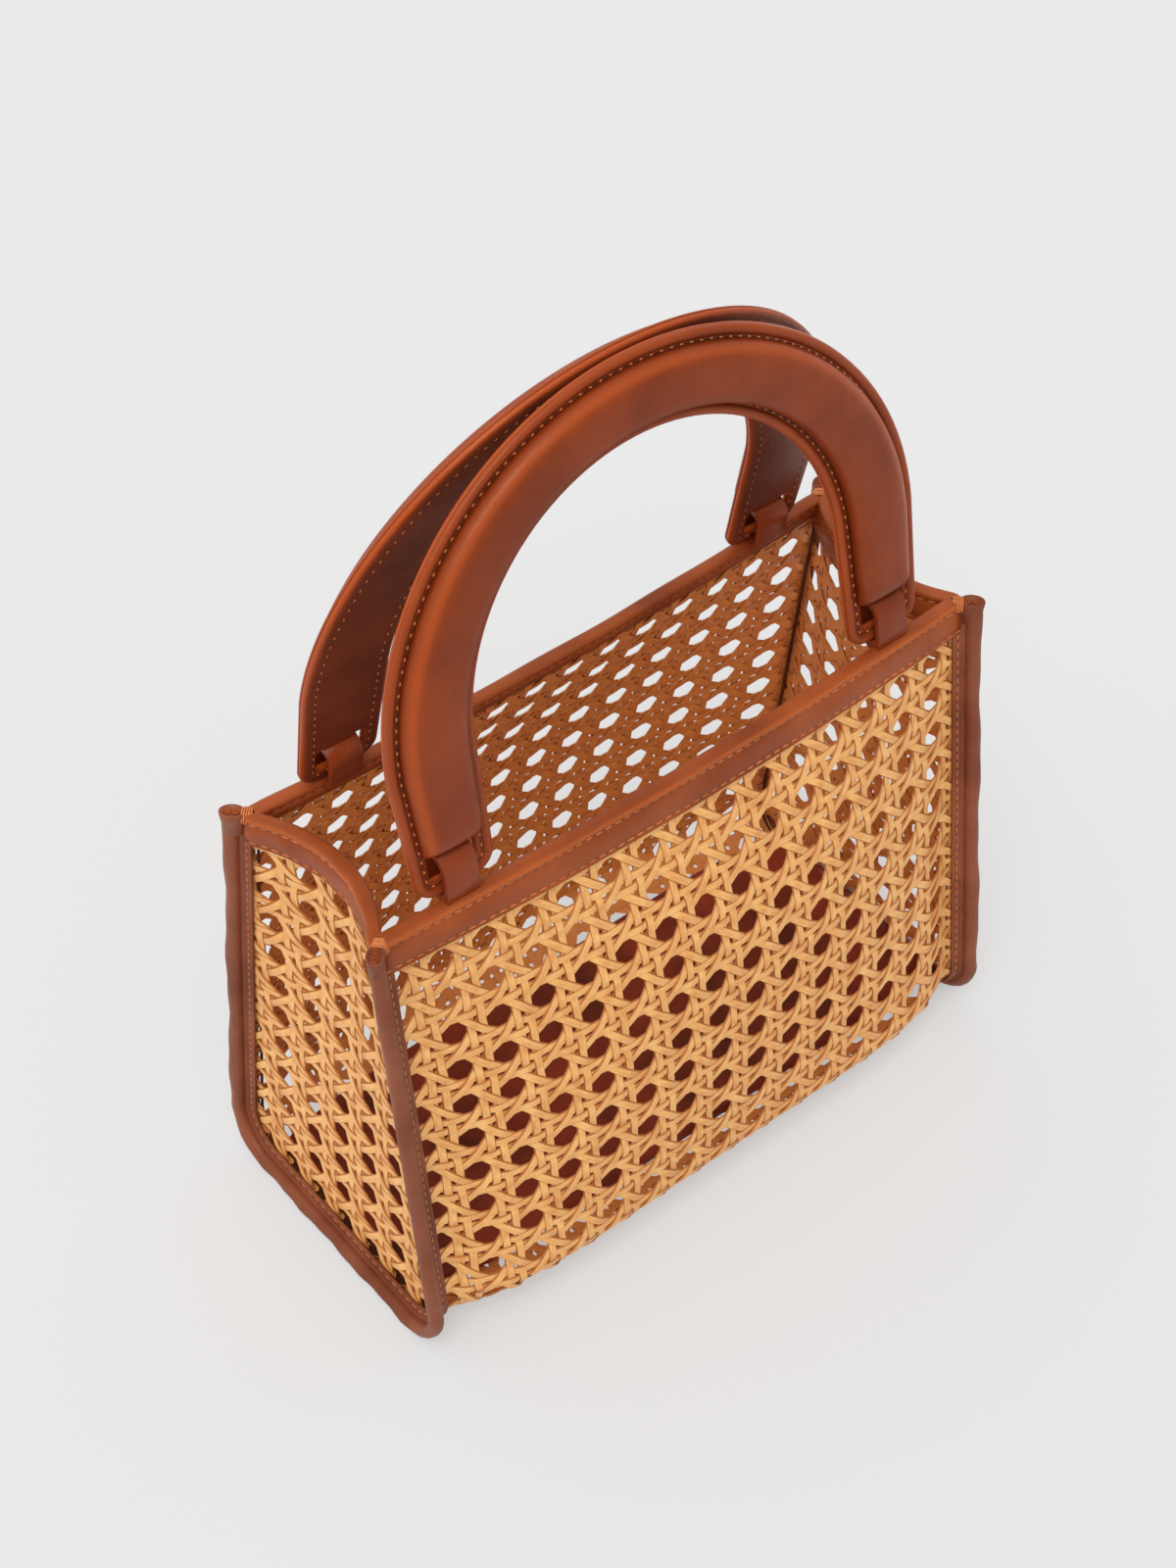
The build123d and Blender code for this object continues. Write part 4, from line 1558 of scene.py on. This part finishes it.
class BAG_OT_base(bpy.types.Operator):
    """Cover the base board in leather"""

    bl_idname = "bag.leather_base"
    bl_label = "Base in its leather sleeve"

    def execute(self, context):
        sleeve = softened_copy("base_leather", "base_sleeve", finish("Base leather"), 0.3)
        fill_belly(sleeve)
        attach(sleeve, "bag")
        board = frame["nodes"]["base_board"]
        board.data.materials.clear()
        board.data.materials.append(finish("Handle lining"))
        return {"FINISHED"}


class BAG_OT_loops(bpy.types.Operator):
    """Soften the leather loops that carry the handles"""

    bl_idname = "bag.leather_loops"
    bl_label = "Leather loops"

    def execute(self, context):
        hide = finish("Tan leather")
        for place in ("front_left", "front_right", "back_left", "back_right"):
            loop = softened_copy(f"{place}_loop", f"{place}_strap", hide, 0.45, 50)
            settle(loop, -1 if place.startswith("front") else 1)
            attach(loop, "bag")
        return {"FINISHED"}


class BAG_OT_handles(bpy.types.Operator):
    """Make the two padded arched handles"""

    bl_idname = "bag.padded_handles"
    bl_label = "Padded handles"

    def execute(self, context):
        hide, lining_hide = finish("Tan leather"), finish("Handle lining")
        for body, facing in (("front_handle", -1), ("back_handle", 1)):
            plane = handle_plane(facing)
            face = leather_plate(f"{body}_leather", plane, -LEATHER, LEATHER, hide, EDGE_ROLL)
            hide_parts(f"{body}_face")
            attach(face, body)
            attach(rolled_edge(f"{body}_edge", plane), body)
            low, high = LINING_BACK, LINING_FRONT
            name = f"{body}_lining"
            lining = leather_plate(name, plane, low, high, lining_hide, LINING_ROLL, LINING_INSET)
            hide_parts(f"{body}_backing")
            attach(lining, body)
            pad = handle_pad(f"{body}_pad", plane)
            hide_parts(f"{body}_core")
            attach(pad, body)
        return {"FINISHED"}


class BAG_OT_stitches(bpy.types.Operator):
    """Sew the stitches of the rims, bindings and handles"""

    bl_idname = "bag.stitches"
    bl_label = "Stitches"

    def execute(self, context):
        lines = []
        for z in (BAG_HEIGHT - RIM_TOP_ROW, BAG_HEIGHT - RIM_EDGE_ROW):
            for outside in (True, False):
                for front in (True, False):
                    if outside or front or z > BAG_HEIGHT - RIM_HEIGHT / 2:
                        lines.append(rim_line(z, outside, front))
                for side in (-1, 1):
                    lines.append(side_rim_line(z, outside, side))
        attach(stitched("rim_stitches", lines), "bag")
        lines = []
        groove, skin = -BINDING_GROOVE, BINDING_SKIN * 0.72
        for side in (-1, 1):
            for out_of_wall, out_of_side in ((skin, groove), (groove, skin)):
                lines.append(seam_line(out_of_wall, out_of_side, side, BAG_HEIGHT - 3))
        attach(stitched("binding_stitches", lines), "bag")
        # Dark tubes of painted shade: one in each inner corner seam, and one in each handle's
        # stitch furrow
        shadow, thread = finish("Seam shadow"), finish("Orange thread")
        seam_top = BAG_HEIGHT - RIM_HEIGHT
        seams = [seam_line(-SEAM_SHADE_SINK, -SEAM_SHADE_SINK, side, seam_top) for side in (-1, 1)]
        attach(thread_tube("inner_seams", seams, SEAM_SHADE_THICKNESS, shadow), "bag")
        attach(thread_tube("corner_tacks", tack_lines(), TACK_THICKNESS, thread), "bag")
        outline = arch_outline(STITCH_INSET)
        for body, facing in (("front_handle", -1), ("back_handle", 1)):
            plane = handle_plane(facing)
            lines = [in_plane(outline, height, plane) for height in (LEATHER, -LEATHER)]
            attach(stitched(f"{body}_stitches", lines, True, HANDLE_STITCH_SHARE), body)
            # Painted shade: a dark tube in the furrow under the handle's stitches
            sunk = LEATHER - FURROW_SHADE_SINK
            lines = [in_plane(outline, height, plane) for height in (sunk, -sunk)]
            furrow_shade = thread_tube(f"{body}_furrow", lines, FURROW_SHADE_THICKNESS, shadow, True)
            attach(furrow_shade, body)
        return {"FINISHED"}


def paper_material():
    """Pale paper that the camera sees a little brighter than it is lit."""
    paper, tree, shader = new_material("Pale paper")
    shader.inputs["Base Color"].default_value = linear(PAPER_TONE, PAPER_TONE, PAPER_TONE)
    shader.inputs["Roughness"].default_value = 0.9
    shader.inputs["Specular IOR Level"].default_value = 0.1
    glow = add_node(tree, "ShaderNodeEmission", {"Color": linear(GLOW_TONE, GLOW_TONE, GLOW_TONE)})
    seen = add_node(tree, "ShaderNodeLightPath")
    mix = add_node(tree, "ShaderNodeMixShader")
    share = math_output(tree, "MULTIPLY", seen.outputs["Is Camera Ray"], GLOW_SHARE)
    tree.links.new(share, mix.inputs["Fac"])
    wire(
        tree,
        (shader, "BSDF", mix, 1),
        (glow, "Emission", mix, 2),
        (mix, "Shader", tree.nodes["Material Output"], "Surface"),
    )
    return paper


def studio_world(light):
    """White surroundings, brightest overhead, with an even backdrop for the camera and gloss."""
    world = bpy.data.worlds.new("Studio")
    world.use_nodes = True
    tree = world.node_tree
    sky = tree.nodes["Background"]
    sky.inputs["Color"].default_value = (1.0, 1.0, 1.0, 1)
    place = add_node(tree, "ShaderNodeTexCoord")
    overhead = {1: Vector(OVERHEAD).normalized()}
    toward = add_node(tree, "ShaderNodeVectorMath", overhead, operation="DOT_PRODUCT")
    levels = {"To Min": light * LOW_LEVEL, "To Max": light * OVERHEAD_LEVEL}
    level = add_node(tree, "ShaderNodeMapRange", {"From Min": -0.3, "From Max": 1.0, **levels})
    seen = add_node(tree, "ShaderNodeLightPath").outputs
    mirrored = math_output(tree, "MAXIMUM", seen["Is Glossy Ray"], seen["Is Transmission Ray"])
    backdrop = math_output(tree, "MAXIMUM", seen["Is Camera Ray"], mirrored)
    shown = add_node(tree, "ShaderNodeMix", {"B": BACKDROP_LEVEL})
    wire(
        tree,
        (place, "Generated", toward, 0),
        (toward, "Value", level, "Value"),
    )
    tree.links.new(backdrop, shown.inputs["Factor"])
    wire(
        tree,
        (level, "Result", shown, "A"),
        (shown, "Result", sky, "Strength"),
    )
    return world


class BAG_OT_stage(bpy.types.Operator):
    """Set the floor, the light and the camera"""

    bl_idname = "bag.stage"
    bl_label = "Stage"

    def execute(self, context):
        scene = context.scene
        settings = scene.bag_stage
        signs = ((-1, -1), (1, -1), (1, 1), (-1, 1))
        corners = [(a * FLOOR_REACH, b * FLOOR_REACH, 0) for a, b in signs]
        new_object("floor", corners, [(0, 1, 2, 3)], paper_material())
        scene.world = studio_world(settings.light)

        data = bpy.data.lights.new("key", "SUN")
        data.energy = settings.key
        data.angle = KEY_SPREAD
        key = linked("key", data)
        key.rotation_euler = Vector(KEY_HEADING).to_track_quat("-Z", "Y").to_euler()

        a, e = settings.azimuth, settings.elevation
        back = Vector((sin(a) * cos(e), -cos(a) * cos(e), sin(e)))
        right = Vector((cos(a), sin(a), 0))
        up = back.cross(right)
        data = bpy.data.cameras.new("camera")
        data.lens = settings.lens
        data.sensor_width = 36
        camera = linked("camera", data)
        place = Vector((0, 0, AIM_HEIGHT * MM)) + back * settings.distance
        camera.location = place + right * settings.slide_right + up * settings.slide_up
        camera.rotation_euler = Matrix((right, up, back)).transposed().to_euler()
        scene.camera = camera
        scene.view_settings.view_transform = "Standard"
        return {"FINISHED"}


STEPS = (
    BAG_OT_wrap,
    BAG_OT_gussets,
    BAG_OT_trims,
    BAG_OT_base,
    BAG_OT_loops,
    BAG_OT_handles,
    BAG_OT_stitches,
    BAG_OT_stage,
)


class BAG_PT_panel(bpy.types.Panel):
    """Sizes, colours and steps of the bag"""

    bl_label = "Box Bag"
    bl_idname = "BAG_PT_panel"
    bl_space_type = "VIEW_3D"
    bl_region_type = "UI"
    bl_category = "Box Bag"

    def draw(self, context):
        layout = self.layout
        for group in ("bag_weave", "bag_leather", "bag_stage"):
            settings = getattr(context.scene, group)
            box = layout.box()
            for name in settings.__annotations__:
                box.prop(settings, name)
        for step in STEPS:
            layout.operator(step.bl_idname)


CLASSES = (BagWeaveSettings, BagLeatherSettings, BagStageSettings, *STEPS, BAG_PT_panel)


def register():
    for cls in CLASSES:
        bpy.utils.register_class(cls)
    bpy.types.Scene.bag_weave = PointerProperty(type=BagWeaveSettings)
    bpy.types.Scene.bag_leather = PointerProperty(type=BagLeatherSettings)
    bpy.types.Scene.bag_stage = PointerProperty(type=BagStageSettings)


def unregister():
    del bpy.types.Scene.bag_stage
    del bpy.types.Scene.bag_leather
    del bpy.types.Scene.bag_weave
    for cls in reversed(CLASSES):
        bpy.utils.unregister_class(cls)


def main():
    register()
    bpy.ops.bag.weave_wrap()
    bpy.ops.bag.weave_gussets()
    bpy.ops.bag.leather_trims()
    bpy.ops.bag.leather_base()
    bpy.ops.bag.leather_loops()
    bpy.ops.bag.padded_handles()
    bpy.ops.bag.stitches()
    bpy.ops.bag.stage()


if __name__ == "__main__":
    main()
